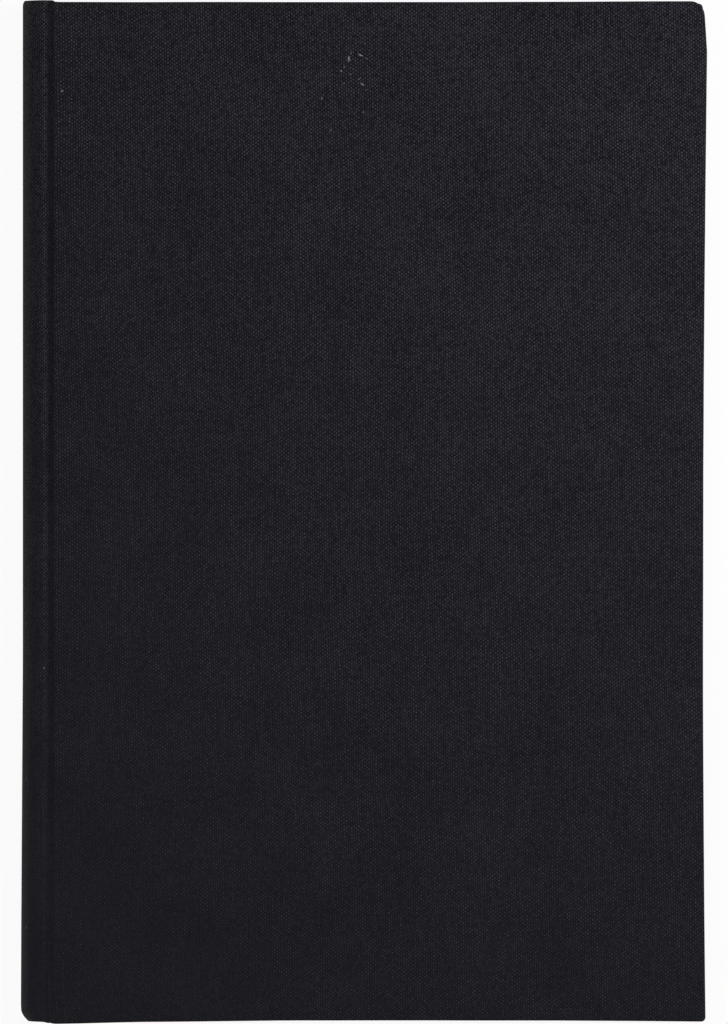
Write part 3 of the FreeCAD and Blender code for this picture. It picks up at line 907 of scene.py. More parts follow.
def flyleaf(side):
    high = (leaf_high.x, leaf_high.y, leaf_high.z + PAPER)
    piece = start_block(f"flyleaf_{side}", (fly_low.x, leaf_low.y, leaf_high.z), high)
    bevel(lambda edge, at: fold_edge(edge, at) and at.z < leaf_high.z + 0.01 * MM, 0.12 * MM, 3)
    for y in (leaf_low.y, leaf_high.y):
        bevel(upright_at(leaf_high.x, y), 1.2 * MM, 5)
    cut_rows(0, spaced(fly_low.x + 5 * MM, leaf_high.x - 5 * MM, 14 * MM))
    cut_rows(1, spaced(leaf_low.y + 5 * MM, leaf_high.y - 5 * MM, 14 * MM))
    bpy.ops.object.mode_set(mode="OBJECT")
    undulate(piece, 0.06 * MM, 0.05, 2)
    if side == "back":
        turn_over(piece)
    return finish_piece(piece)


pastedowns = {side: pastedown(side) for side in ("front", "back")}
flyleaves = {side: flyleaf(side) for side in ("front", "back")}

# %% [markdown]
# ## Gauze
# The mull is an open cotton gauze that is glued over the spine of the leaves and reaches onto
# both boards: it is what holds the book in its case. It follows the same path as the cloth, a
# layer further in, so the same tool makes it. It too is in two halves that meet at the spine.

# %% Glue on the gauze
GAUZE = flange_high.z - flange_low.z
BLOCK_RADIUS = TURNED_RADIUS - 0.7 * MM


def gauze(side):
    low = Vector((flange_low.x, flange_low.y, flange_low.z))
    piece = start_block(f"mull_{side}", low, flange_high)
    start = flange_low.x - SPINE_LINE
    shoulder = (SHOULDER, leaf_high.z)
    over = on_arc(BLOCK_RADIUS + GAUZE, shoulder)
    stations = (
        ((JOINT_END, FOLD_LEVEL + GAUZE), (JOINT_END, FOLD_LEVEL)),
        ((SHOULDER - GAUZE, FOLD_LEVEL + GAUZE), (SHOULDER, FOLD_LEVEL)),
        (over, shoulder),
    )
    run_to_spine(((start, flange_high.z), (start, flange_low.z)), stations)
    cut_rows(0, [x_at(place) for place in spaced(SHOULDER + 0.1 * MM, BLEND_END, 0.14 * MM)])
    cut_rows(1, spaced(flange_low.y + 9 * MM, flange_high.y - 9 * MM, 9 * MM))
    bpy.ops.object.mode_set(mode="OBJECT")
    line, lengths = section_line(piece, 0.5)
    lay_run(piece, line, lengths)
    if side == "back":
        turn_over(piece)
    return finish_piece(piece)


mulls = {side: gauze(side) for side in ("front", "back")}

# %% [markdown]
# ## The leaves
# The block is sewn in gatherings of folded sheets, and then rounded with a hammer: every leaf
# slides over the next one, so the back is round and the fore edge is hollow by the same amount.
# A mesh for each leaf would be hundreds of sheets that never show, so we do what the hammer does
# to one block. It is cut into rows, and each row is slid towards the spine by the height of the
# arc there. Gatherings never line up perfectly, so each is also set in by up to a tenth of a
# millimetre, at random but from a fixed seed.

# %% Sew, round and trim the leaves
GATHERINGS = 14
SEAM = 0.1 * MM  # how deep the line between two gatherings is
BESIDE_SEAM = 0.08 * MM
STAGGER = 0.09 * MM


def rounding(z):
    """How far a leaf at this height slides towards the spine, as a share of the deepest."""
    deepest = BLOCK_RADIUS - (SPINE_RADIUS - SHOULDER)
    away = min(abs(z - MIDDLE), BLOCK_RADIUS)
    slide = math.sqrt(BLOCK_RADIUS**2 - away**2) - (SPINE_RADIUS - SHOULDER)
    return max(0, slide / deepest)


def leaves():
    random.seed(7)
    low = Vector((x_at(SHOULDER), leaf_low.y, leaf_low.z))
    piece = start_block("leaves", low, leaf_high)
    for y in (leaf_low.y, leaf_high.y):
        bevel(upright_at(leaf_high.x, y), 1.2 * MM, 4)
    pitch = (leaf_high.z - leaf_low.z) / GATHERINGS
    levels = []
    for i in range(GATHERINGS):
        start, stop = leaf_low.z + i * pitch, leaf_low.z + i * pitch + pitch
        levels += [start + BESIDE_SEAM, start + 0.3 * pitch, start + 0.7 * pitch, stop - BESIDE_SEAM]
        levels += [stop] if i < GATHERINGS - 1 else []
    cut_rows(2, levels)
    cut_rows(1, spaced(leaf_low.y + 8 * MM, leaf_high.y - 8 * MM, 24 * MM))
    cut_rows(0, [x_at(SHOULDER + 8 * MM), leaf_high.x - 8 * MM])
    bpy.ops.object.mode_set(mode="OBJECT")
    offsets = [(random.random(), random.random()) for _ in range(GATHERINGS)]

    def gathering(at):
        return offsets[min(GATHERINGS - 1, max(0, int((at.z - leaf_low.z) / pitch)))]

    def in_seam(at):
        off = ((at.z - leaf_low.z) / pitch + 0.5) % 1 - 0.5
        inner = leaf_low.z + 0.5 * pitch < at.z < leaf_high.z - 0.5 * pitch
        return 1 if abs(off) < 0.02 and inner else 0

    def at_fore(at):
        return taper([(leaf_high.x - 8 * MM, 0), (leaf_high.x - 1 * MM, 1)], at.x)

    def at_end(at, sign):
        return taper([(HALF_LEAF - 8 * MM, 0), (HALF_LEAF - 1 * MM, 1)], sign * (at.y - COVER_Y))

    push(piece, "X", -STAGGER, lambda at: at_fore(at) * gathering(at)[0])
    push(piece, "X", -SEAM, lambda at: at_fore(at) * in_seam(at))
    push(piece, "Y", -STAGGER, lambda at: at_end(at, 1) * max(gathering(at)[1], in_seam(at)))
    push(piece, "Y", STAGGER, lambda at: at_end(at, -1) * max(gathering(at)[0], in_seam(at)))
    deepest = BLOCK_RADIUS - (SPINE_RADIUS - SHOULDER)
    push(piece, "X", -deepest, lambda at: rounding(at.z))
    return finish_piece(piece, 20)


block = leaves()

# %% [markdown]
# ## Head and tail bands
# A band is a striped bead on a tape, cut from a reel and glued over the ends of the spine. The
# bead is a ring of corners spun round the spine's centre line in four steps for each turn of its
# thread. A curve with a round section would do too, but the spin keeps the rows in step with the
# thread, which the next cell needs. The tape is a thin block, spun both ways.

# %% Wind the bands
BEAD = (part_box("head_band")[1].y - leaf_high.y) / 2
BEAD_RADIUS = BLOCK_RADIUS - 0.25 * MM
TAPE = 12 * MM
HALF_BAND = math.asin((leaf_high.z - MIDDLE) / BLOCK_RADIUS)
WINDS = 34


def band(name, end):
    """A band at the head (end 1) or at the tail (end -1)."""
    edge = COVER_Y + end * HALF_LEAF
    spine_x = x_at(SPINE_RADIUS)
    first = (edge, edge - end * TAPE)
    low = (spine_x - BLOCK_RADIUS - GAUZE, min(first), MIDDLE - BED)
    piece = start_block(name, low, (spine_x - BLOCK_RADIUS, max(first), MIDDLE + BED))
    roll(BED, BLOCK_RADIUS, HALF_BAND, 24)
    bpy.ops.mesh.select_all(action="DESELECT")
    middle = (spine_x - BEAD_RADIUS, edge + end * BEAD, MIDDLE)
    bpy.ops.mesh.primitive_circle_add(vertices=10, radius=BEAD, fill_type="NGON", location=middle)
    bpy.ops.transform.rotate(value=-HALF_BAND, orient_axis="Y", center_override=(spine_x, 0, MIDDLE))
    bpy.ops.mesh.spin(
        steps=4 * WINDS, angle=2 * HALF_BAND, center=(spine_x, 0, MIDDLE), axis=(0, 1, 0)
    )
    weld()
    bpy.ops.mesh.normals_make_consistent(inside=False)
    bpy.ops.object.mode_set(mode="OBJECT")
    return finish_piece(piece)


bands = [band("band_head", 1), band("band_tail", -1)]
for piece in bands:
    low, high = [Vector(corner) for corner in (piece.bound_box[0], piece.bound_box[6])]
    print(piece.name, [round(x / MM, 2) for x in low], [round(x / MM, 2) for x in high])

# %% [markdown]
# Thread is wound round the bead in a fixed step, and pulls it in a little at each turn. That is
# relief one can feel, so it goes into the mesh, and not only into the finish.

# %% Pinch the beads
PINCH = 0.1 * MM


def angle_round(at):
    return math.atan2(at.z - MIDDLE, x_at(SPINE_RADIUS) - at.x)


def pinched(at):
    on_bead = 1 if abs(at.y - COVER_Y) > HALF_LEAF + 0.02 * MM else 0
    place = (angle_round(at) + HALF_BAND) / (2 * HALF_BAND) * WINDS
    return on_bead * (0.5 + 0.5 * math.cos(2 * math.pi * place))


for piece in bands:
    push(piece, "NORMAL", -PINCH, pinched)
print("each bead pinched", WINDS, "times,", round(PINCH / MM, 2), "mm deep")

# %% [markdown]
# ## What moves with what
# Each cover turns about its joint. Boards go with their covers, leaves and bands stay. Cloth, gauze and
# pasted paper cross the joint. Riding on one body they would tear off the other, so none of them rides
# on one here: each only has its place baked into its mesh.

# %% Ride and replace
for side in ("front", "back"):
    cover = f"{side}_cover"
    starts = ((cloths[side], STRIP_END), (mulls[side], SHOULDER), (pastedowns[side], SHOULDER))
    for piece, start in starts:
        x_at(start)
        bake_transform(piece)
    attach(boards[side], cover)
    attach(flyleaves[side], "book_block")
    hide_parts("spine_cloth", f"{side}_cloth")
    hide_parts(f"{side}_board")
    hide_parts("spine_mull", f"{side}_mull_flange")
    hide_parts(f"{side}_pastedown")
    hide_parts(f"{side}_flyleaf")
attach(spine_card, "book_block")
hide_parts("spine_strip")
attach(block, "book_block")
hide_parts("text_block")
for piece, node_name in zip(bands, ("head_band", "tail_band")):
    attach(piece, "book_block")
    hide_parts(node_name)

# %% [markdown]
# ## Making materials with nodes
# A material is a small tree of nodes. These helpers add a node and link it in one line, so that
# the recipe of each finish can be read like a sum.


# %% Node helpers
def add(tree, kind, *inputs, out=0, **settings):
    """Adds a node with its settings and inputs (numbers or sockets), and returns an output."""
    made = tree.nodes.new(f"ShaderNode{kind}")
    for name, value in settings.items():
        setattr(made, name, value)
    for socket, value in zip(made.inputs, inputs):
        if isinstance(value, bpy.types.NodeSocket):
            tree.links.new(value, socket)
        elif value is not None:
            socket.default_value = value
    return made.outputs[out]


def sum_of(tree, operation, *inputs):
    return add(tree, "Math", *inputs, operation=operation)


def mixed(tree, share, first, second):
    """A colour between two others."""
    made = tree.nodes.new("ShaderNodeMix")
    made.data_type = "RGBA"
    for socket, value in ((made.inputs[0], share), (made.inputs[6], first), (made.inputs[7], second)):
        if isinstance(value, bpy.types.NodeSocket):
            tree.links.new(value, socket)
        else:
            socket.default_value = value
    return made.outputs[2]


def between(tree, value, low, high, new_low, new_high):
    return add(tree, "MapRange", value, low, high, new_low, new_high)


def noise(tree, place, scale, detail=2, roughness=0.5):
    return add(tree, "TexNoise", place, None, scale, detail, roughness)


def object_place(tree):
    return add(tree, "TexCoord", out=3)


def thread_place(tree):
    return add(tree, "UVMap", uv_map="threads")


def moved(tree, place, location=(0, 0, 0), rotation=(0, 0, 0), scale=(1, 1, 1)):
    return add(tree, "Mapping", place, location, rotation, scale)


def new_finish(name, roughness, specular, sheen=0.0):
    """A material with a plain Principled surface. Returns it, its tree and its shader node."""
    material = bpy.data.materials.new(name)
    material.use_nodes = True
    shader = material.node_tree.nodes["Principled BSDF"]
    shader.inputs["Roughness"].default_value = roughness
    shader.inputs["Specular IOR Level"].default_value = specular
    shader.inputs["Sheen Weight"].default_value = sheen
    return material, material.node_tree, shader


def connect(tree, shader, colour, height=None, depth=0.0, roughness=None):
    """Links a colour, a relief of this depth in metres, and a roughness to the surface."""
    tree.links.new(colour, shader.inputs["Base Color"])
    if roughness is not None:
        tree.links.new(roughness, shader.inputs["Roughness"])
    if height is not None:
        bump = tree.nodes.new("ShaderNodeBump")
        bump.inputs["Strength"].default_value = 1.0
        bump.inputs["Distance"].default_value = depth
        tree.links.new(height, bump.inputs["Height"])
        tree.links.new(bump.outputs["Normal"], shader.inputs["Normal"])


def give(piece, material):
    piece.data.materials.clear()
    piece.data.materials.append(material)


# %% [markdown]
# ## Black buckram
# The cloth is a plain weave: each thread passes over one and under the next. Threads could be
# modelled, but they cross hundreds of thousands of times, so the finish makes them. Sines of both
# thread counts give a weave directly. Their product is high where a warp thread is on top and low where
# a weft thread is, and the absolute value of each one is the round of a thread. Real threads are
# never quite straight or square: these lean, bow over some centimetres, and wander on the way.

# %% How the threads run
WARP_PITCH = 0.695 * MM  # the threads that run from tail to head, and so count across
WEFT_PITCH = 0.516 * MM
OVER = 0.5  # how much of the pattern is over and under, and not the round of each thread
RIB = 0.9  # how far the sides of a warp thread fall off into shade
LEAN = (0.0137, -0.0035)  # how far the warp and the weft lean, as cloth is never laid quite square
SLOW_WANDER = 3  # in threads, over some centimetres
FINE_WANDER = 0.9  # in threads, over a few millimetres
KNOTTY = 0.5  # how far one crossing differs from the next
print("threads to the cm:", round(0.01 / WARP_PITCH, 1), "and", round(0.01 / WEFT_PITCH, 1))


def weave(tree, place, warp_pitch, weft_pitch, wander):
    """(height, how much of the warp shows, its tops painted pale as glints, tone of the thread on top)
    of a plain weave.
    """
    across = add(tree, "SeparateXYZ", place)
    along = across.node.outputs[1]
    slow, drift, fine = (tree.nodes.new("ShaderNodeSeparateColor") for _ in range(3))
    # cells of noise to the metre, and their detail, for bowing, drifting and fine wandering
    for parts, scale, detail in ((slow, 14, 0), (drift, 55, 3), (fine, 520, 1)):
        tree.links.new(noise(tree, place, scale, detail).node.outputs["Color"], parts.inputs[0])
    counts = []
    for value, other, pitch, way in ((across, along, warp_pitch, 0), (along, across, weft_pitch, 1)):
        leaning = sum_of(tree, "MULTIPLY_ADD", other, LEAN[way], value)
        straight = sum_of(tree, "DIVIDE", leaning, pitch)
        bowed = sum_of(tree, "MULTIPLY_ADD", slow.outputs[way], SLOW_WANDER, straight)
        bent = sum_of(tree, "MULTIPLY_ADD", drift.outputs[way], wander, bowed)
        counts.append(sum_of(tree, "MULTIPLY_ADD", fine.outputs[way], FINE_WANDER, bent))
    waves = [sum_of(tree, "SINE", sum_of(tree, "MULTIPLY", count, math.pi)) for count in counts]
    over = sum_of(tree, "MULTIPLY", *waves)
    tops = []
    for wave, share in zip(waves, (OVER, -OVER)):
        thread = sum_of(tree, "MULTIPLY", sum_of(tree, "ABSOLUTE", wave), 1 - OVER)
        tops.append(sum_of(tree, "MULTIPLY_ADD", over, share, thread))
    height = sum_of(tree, "MAXIMUM", *tops)
    tones = []
    for count, length, seed in ((counts[0], along, 3.1), (counts[1], across, 17.7)):
        number = sum_of(tree, "MULTIPLY", sum_of(tree, "FLOOR", count), 7.31)
        spot = add(tree, "CombineXYZ", number, sum_of(tree, "MULTIPLY", length, 60), seed)
        tones.append(noise(tree, spot, 1.0, 2, 0.6))
    cells = [sum_of(tree, "FLOOR", count) for count in counts]
    crossing = add(tree, "CombineXYZ", *cells, 0)
    knots = add(tree, "TexWhiteNoise", crossing, noise_dimensions="2D")
    on_top = between(tree, over, -0.05, 0.05, 0, 1)
    apart = sum_of(tree, "SUBTRACT", *tones)
    round_of_thread = sum_of(tree, "POWER", sum_of(tree, "ABSOLUTE", waves[0]), 1.3)
    rib = between(tree, round_of_thread, 0, 1, 1 - RIB, 1)
    shown = sum_of(tree, "MULTIPLY", between(tree, over, -1, 1, 0.1, 1), rib)
    warp = sum_of(tree, "MULTIPLY", shown, between(tree, knots, 0, 1, 1 - KNOTTY, 1 + KNOTTY))
    return height, warp, sum_of(tree, "MULTIPLY_ADD", on_top, apart, tones[1])


# %% [markdown]
# Wear is what makes the cloth this book's own, and light and shade are painted over it. The dyed size
# that fills it is rubbed thin where hands and shelves touch the ridge beside the joint, so the threads
# show paler there, under a painted highlight. The back of the spine is painted paler as a sheen and its
# flank darker as shade. The weave is painted clearer and brighter towards the head and the fore edge,
# as light from there, and the groove is painted paler over its shade. All of it could be painted, but a
# finish that goes by the run along the cloth stays sharp at any distance. Each kind is a number from
# the place, and the next cell adds them up.

# %% Where the cloth is worn, and where light and shade are painted on it
CLEARER_OUT = 2.2  # how fast the weave gets clearer and brighter towards the fore edge, per metre: painted light
CLEARER_UP = 3.0  # and towards the head, painted light too
CLEAR_BOW = 14  # and how fast it fades again off the middle of the book, per square metre
CLEAREST = 0.6

# Places along the cloth, as a run from the middle of the spine.
RIDGE = 14.25 * MM  # the ridge beside the joint
RIDGE_RISE = 3.3 * MM
RIDGE_FALL = 1.5 * MM
SPINE_BACK = (7 * MM, 8 * MM)  # where the paler back of the spine, a painted sheen, gives way to its flank
FLANK_END = (10 * MM, 12 * MM)
SPINE_FADE = (4 * MM, 11 * MM)
FORE_FADE = (0.2 * MM, 1.6 * MM)  # this one is from the fore edge
# The joint's groove and the flank beside it are painted paler, light painted over their shade, most at
# the tail.
LIT_FLANK = (12 * MM, 14.5 * MM)
GROOVE_LIGHT_STARTS = (15.0 * MM, 16.2 * MM)
GROOVE_LIGHT_ENDS = (18 * MM, 20.5 * MM)
# The back of the spine is painted paler, a painted sheen, and its flank darker, painted shade.
SPINE_SHEEN = 0.25
FLANK_SHADE = 0.08


def run_and_up(tree, place):
    """How far a place is from the middle of the spine along the cloth, and how far up."""
    across = add(tree, "SeparateXYZ", place)
    return sum_of(tree, "ABSOLUTE", across), across.node.outputs[1]


def ridge_wear_and_highlight(tree, place):
    """1 on the ridge beside the joint, where hands rub it and a highlight is painted: most at the head,
    none at the tail.
    """
    run, up = run_and_up(tree, place)
    rise = between(tree, run, RIDGE - RIDGE_RISE, RIDGE, 0.3, 1)
    fall = between(tree, run, RIDGE, RIDGE + RIDGE_FALL, 1, 0)
    near = sum_of(tree, "MULTIPLY", rise, fall)
    high = between(tree, up, -HALF_COVER, HALF_COVER, 0, 1)
    patches = between(tree, noise(tree, place, 90, 3), 0.35, 0.65, 0.5, 1.2)
    return sum_of(tree, "MULTIPLY", sum_of(tree, "MULTIPLY", near, high), patches)


def weave_lit_to_head_and_fore(tree, place):
    """How much clearer and brighter (above 0) or fainter and darker (below 0) the weave is than on
    average: painted light, brighter towards the head and the fore edge.
    """
    run, up = run_and_up(tree, place)
    out = sum_of(tree, "SUBTRACT", run, THREAD_START["front"])
    slope = sum_of(tree, "MULTIPLY_ADD", out, -CLEAR_BOW, CLEARER_OUT)
    level = sum_of(tree, "MULTIPLY", out, slope)
    level = sum_of(tree, "MULTIPLY_ADD", up, CLEARER_UP, level)
    return between(tree, level, -CLEAREST, CLEAREST, -CLEAREST, CLEAREST)


def faded(tree, place):
    """Browner over the spine and along the fore edge, in patches."""
    run = run_and_up(tree, place)[0]
    on_spine = between(tree, run, *SPINE_FADE, 0.5, 0)
    fore = THREAD_START["front"] + FORE
    off_fore = sum_of(tree, "ABSOLUTE", sum_of(tree, "SUBTRACT", run, fore))
    on_fore = between(tree, off_fore, *FORE_FADE, 0.5, 0)
    patches = noise(tree, moved(tree, place, scale=(1, 0.4, 1)), 190, 3, 0.6)
    share = sum_of(tree, "MAXIMUM", on_spine, on_fore)
    return sum_of(tree, "MULTIPLY", share, between(tree, patches, 0.35, 0.65, 0.6, 1.3))


def spine_sheen_and_shade(tree, place):
    """The back of the spine is painted paler as a sheen, and the flank beside it darker as painted
    shade.
    """
    run = run_and_up(tree, place)[0]
    back = between(tree, run, *SPINE_BACK, SPINE_SHEEN, -FLANK_SHADE)
    return sum_of(tree, "ADD", back, between(tree, run, *FLANK_END, 0, FLANK_SHADE))


def groove_painted_light(tree, place):
    """Painted light, paler over shade: 1 in the joint's groove at the tail, less up to the head and on
    the flank.
    """
    run, up = run_and_up(tree, place)
    into = between(tree, run, *GROOVE_LIGHT_STARTS, 0.1, 1)
    out = between(tree, run, *GROOVE_LIGHT_ENDS, 1, 0)
    flank = between(tree, run, *LIT_FLANK, 0.5, 0)
    tailward = between(tree, up, -HALF_COVER, 0.3 * HALF_COVER, 1, 0)
    on_flank = sum_of(tree, "MULTIPLY", flank, tailward)
    kept = between(tree, tailward, 0, 1, 0.45, 1)
    in_groove = sum_of(tree, "MULTIPLY", sum_of(tree, "MULTIPLY", into, out), kept)
    return sum_of(tree, "MAXIMUM", on_flank, in_groove)


# %% [markdown]
# A few spots are rubbed right through the dye. They are placed one by one, as small ovals with
# ragged edges, since a noise would put them anywhere.

# %% Rubbed marks
# Rubbed marks: across along the cloth and up, from the middle of the book, then length, width
# and turn (in mm and degrees), and how far the colour has gone.
MARKS = [
    (-4.4, 135.3, 1.9, 0.65, 88, 1.0),
    (-3.8, 137.0, 0.9, 0.4, 70, 0.5),
    (-0.9, 136.4, 2.0, 0.5, -28, 1.0),
    (0.9, 135.4, 1.6, 0.4, -32, 0.35),
    (-5.8, 132.9, 1.2, 0.4, 60, 0.45),
    (-6.7, 131.7, 0.7, 0.5, 60, 1.0),
    (-4.0, 130.6, 0.8, 0.5, 0, 0.4),
    (-1.2, 129.4, 1.6, 0.4, 40, 0.4),
    (-0.4, 127.7, 1.4, 0.5, -32, 0.9),
    (0.6, 125.9, 0.9, 0.4, 0, 0.35),
    (-5.9, 127.9, 0.7, 0.5, 10, 0.35),
    (-12.5, 123.5, 0.8, 0.5, 80, 0.7),
    (-9.9, 114.0, 1.5, 0.4, 68, 0.45),
    (-0.2, 119.4, 0.5, 0.4, 0, 0.6),
    (-89.6, 125.7, 0.7, 0.6, 0, 1.0),
    (-97.8, -46.5, 0.5, 0.45, 0, 1.0),
    (-105.2, -79.5, 2.0, 0.5, 88, 0.35),
    (-104.8, -124.0, 1.2, 0.6, 60, 0.4),
]
print("rubbed marks:", len(MARKS))


def rubbed_marks(tree, place, start):
    """Each mark's strength in its middle, fading to 0 at its ragged edge."""
    ragged = noise(tree, place, 2600, 2)
    worst = None
    for across, up, length, width, turn, strength in MARKS:
        centre = (start + across * MM, up * MM, 0)
        size = (length * MM / 2, width * MM / 2, 1)
        turned = (0, 0, math.radians(turn))
        spot = add(tree, "Mapping", place, centre, turned, size, vector_type="TEXTURE")
        out = add(tree, "VectorMath", spot, out=1, operation="LENGTH")
        rough_out = sum_of(tree, "MULTIPLY_ADD", ragged, 1.1, out)
        mark = between(tree, rough_out, 0.75, 1.7, strength, 0)
        worst = mark if worst is None else sum_of(tree, "MAXIMUM", worst, mark)
    return worst


# %% [markdown]
# Threads, wear and painted light come together in one finish. A pale and a dark colour are mixed by how
# much pale thread shows, and that pale is partly the thread's own colour and partly painted glint on
# its tops. One Principled surface is enough for it: a sized cloth has next to no gloss, and the glints
# on it are painted.

# %% Black buckram
CLOTH_DARK = (0.0013, 0.0010, 0.0029, 1)
# The pale below is the threads' own colour and also a painted glint on their tops.
CLOTH_PALE_AND_GLINT = (0.0400, 0.0385, 0.0462, 1)
CLOTH_FADED = (0.0402, 0.0393, 0.0372, 1)  # where light and hands have turned it browner
RUBBED = (0.27, 0.265, 0.28, 1)
CLEARNESS = 0.73  # how much of the weave shows, on average
PLAIN_SHARE = 0.26  # how pale it is where the size still fills the weave
# On the ridge the cloth is rubbed paler, and a painted highlight with painted sparkle lies on it,
# strongest towards the head.
RIDGE_PALER_AND_HIGHLIGHT = 0.8
RIDGE_CLEARER_AND_SPARKLE = 0.95
GROOVE_LIGHT = 0.6
CLOTH_WANDER = 1.3  # in threads, over a centimetre or two
CLOTH_RELIEF = 0.06 * MM


def buckram():
    material, tree, shader = new_finish("black_buckram", roughness=0.62, specular=0.035)
    place = thread_place(tree)
    height, warp, tone = weave(tree, place, WARP_PITCH, WEFT_PITCH, CLOTH_WANDER)
    patchy = between(tree, noise(tree, place, 38, 4, 0.6), 0.3, 0.7, 0.88, 1.12)
    varied = between(tree, tone, 0.25, 0.75, 0.7, 1.3)
    # The ridge is rubbed paler and carries a painted highlight.
    ridge = ridge_wear_and_highlight(tree, place)
    # Patchy tone, with a painted sheen on the back of the spine and painted shade on its flank.
    patchy_sheen_and_shade = sum_of(tree, "ADD", patchy, spine_sheen_and_shade(tree, place))
    worn_and_lit = sum_of(tree, "MULTIPLY_ADD", ridge, RIDGE_PALER_AND_HIGHLIGHT, patchy_sheen_and_shade)
    # The weave is painted clearer and brighter towards the head and the fore edge, as light from that
    # side.
    bared_and_lit = sum_of(tree, "MULTIPLY_ADD", ridge, RIDGE_CLEARER_AND_SPARKLE, weave_lit_to_head_and_fore(tree, place))
    threads = sum_of(tree, "SUBTRACT", sum_of(tree, "MULTIPLY", warp, varied), PLAIN_SHARE)
    clear = between(tree, bared_and_lit, -1, 1, 0, 2 * CLEARNESS)
    shown = sum_of(tree, "MULTIPLY_ADD", threads, clear, PLAIN_SHARE)
    # The groove is painted paler, light painted over its shade.
    groove_lit = sum_of(tree, "MULTIPLY_ADD", groove_painted_light(tree, place), GROOVE_LIGHT, worn_and_lit)
    share = sum_of(tree, "MULTIPLY", shown, groove_lit)
    pale = mixed(tree, faded(tree, place), CLOTH_PALE_AND_GLINT, CLOTH_FADED)
    cloth = mixed(tree, share, CLOTH_DARK, pale)
    marks = rubbed_marks(tree, place, THREAD_START["front"])
    rubbed = sum_of(tree, "MULTIPLY", marks, between(tree, height, 0, 0.8, 0.3, 0.95))
    colour = mixed(tree, rubbed, cloth, RUBBED)
    rough = between(tree, height, 0, 1, 0.85, 0.65)
    connect(tree, shader, colour, height, CLOTH_RELIEF, rough)
    return material


cloth_finish = buckram()
for piece in cloths.values():
    give(piece, cloth_finish)
print("nodes in the buckram:", len(cloth_finish.node_tree.nodes))

# %% [markdown]
# ## Paper, board and card
# All four are pulp: fibres that lie mostly one way, a tone that wanders, and a few flecks. They
# differ only in colour, in how coarse the fibres are, and in how far they are drawn out, so one
# recipe makes them all, from a line of numbers for each.

# %% Papers and pulps
def fibrous(name, dark, pale, scale, stretch, roughness, depth, specular=0.25):
    """Paper or pulp: a tone that wanders, fine fibres, and a few flecks."""
    material, tree, shader = new_finish(name, roughness, specular)
    place = object_place(tree)
    fibres = noise(tree, moved(tree, place, scale=stretch), scale, 4, 0.65)
    broad = noise(tree, place, 24, 3)
    flecks = between(tree, noise(tree, place, scale * 1.7, 1), 0.68, 0.74, 0, 0.35)
    both = sum_of(tree, "MULTIPLY_ADD", fibres, 0.78, sum_of(tree, "MULTIPLY", broad, 0.22))
    plain = mixed(tree, between(tree, both, 0.35, 0.65, 0, 1), dark, pale)
    colour = mixed(tree, flecks, plain, [part * 0.6 for part in dark[:3]] + [1])
    rough = between(tree, fibres, 0.3, 0.7, roughness + 0.06, roughness - 0.06)
    connect(tree, shader, colour, fibres, depth, rough)
    return material


# dark and pale colour, cells of noise to the metre, stretch, roughness, relief
PULPS = {
    "cream_endpaper": ((0.70, 0.66, 0.57, 1), (0.84, 0.81, 0.73, 1), 700, (1, 3, 1), 0.72, 0.01 * MM),
    "binders_board": ((0.25, 0.23, 0.20, 1), (0.44, 0.41, 0.36, 1), 900, (1, 1, 3), 0.85, 0.05 * MM),
    "brown_kraft": ((0.33, 0.22, 0.13, 1), (0.49, 0.35, 0.22, 1), 600, (1, 0.25, 1), 0.75, 0.02 * MM),
    "rolled_card": ((0.36, 0.32, 0.26, 1), (0.54, 0.48, 0.40, 1), 800, (1, 0.5, 1), 0.8, 0.03 * MM),
}
pulps = {name: fibrous(name, *recipe) for name, recipe in PULPS.items()}
print("pulps:", ", ".join(pulps))

# %% [markdown]
# ## Leaves, gauze and bands
# The cut edges of a block show its leaves as fine lines. Nobody counts them, so a noise drawn
# far out along the leaves, and tight from one to the next, gives them. The gauze is the same
# weave as the cloth, only far more open. A band's stripes go by the angle round the spine, and
# slant because the thread does.

# %% Cut leaves, gauze, striped bands
LEAF_LINES = 5200  # cells of noise to the metre, up through the block
SLANT = 40  # radians round the spine for each metre along the book
GAUZE_PITCH = 1.1 * MM


def cut_edges():
    """The trimmed edges of the leaves: fine lines, yellowed unevenly."""
    material, tree, shader = new_finish("cut_leaf_edges", roughness=0.7, specular=0.2)
    place = object_place(tree)
    lines = noise(tree, moved(tree, place, scale=(9, 9, 1)), LEAF_LINES, 2, 0.7)
    layered = noise(tree, moved(tree, place, scale=(0.02, 0.02, 1)), LEAF_LINES, 2, 0.8)
    yellowed = noise(tree, moved(tree, place, scale=(1, 1, 4)), 30, 3)
    share = between(tree, layered, 0.32, 0.68, 0, 1)
    plain = mixed(tree, share, (0.44, 0.38, 0.28, 1), (0.84, 0.80, 0.69, 1))
    colour = mixed(tree, between(tree, yellowed, 0.45, 0.75, 0, 0.35), plain, (0.62, 0.50, 0.33, 1))
    height = sum_of(tree, "MULTIPLY_ADD", lines, 0.2, layered)
    connect(tree, shader, colour, height, 0.06 * MM, between(tree, layered, 0, 1, 0.8, 0.6))
    return material


def open_gauze():
    material, tree, shader = new_finish("cotton_gauze", roughness=0.8, specular=0.2, sheen=0.2)
    height, _, tone = weave(tree, thread_place(tree), GAUZE_PITCH, GAUZE_PITCH, 1.0)
    share = between(tree, height, 0.45, 0.75, 0, 1)
    thread = mixed(tree, tone, (0.66, 0.62, 0.52, 1), (0.86, 0.83, 0.75, 1))
    connect(tree, shader, mixed(tree, share, (0.36, 0.31, 0.23, 1), thread), height, 0.1 * MM)
    return material


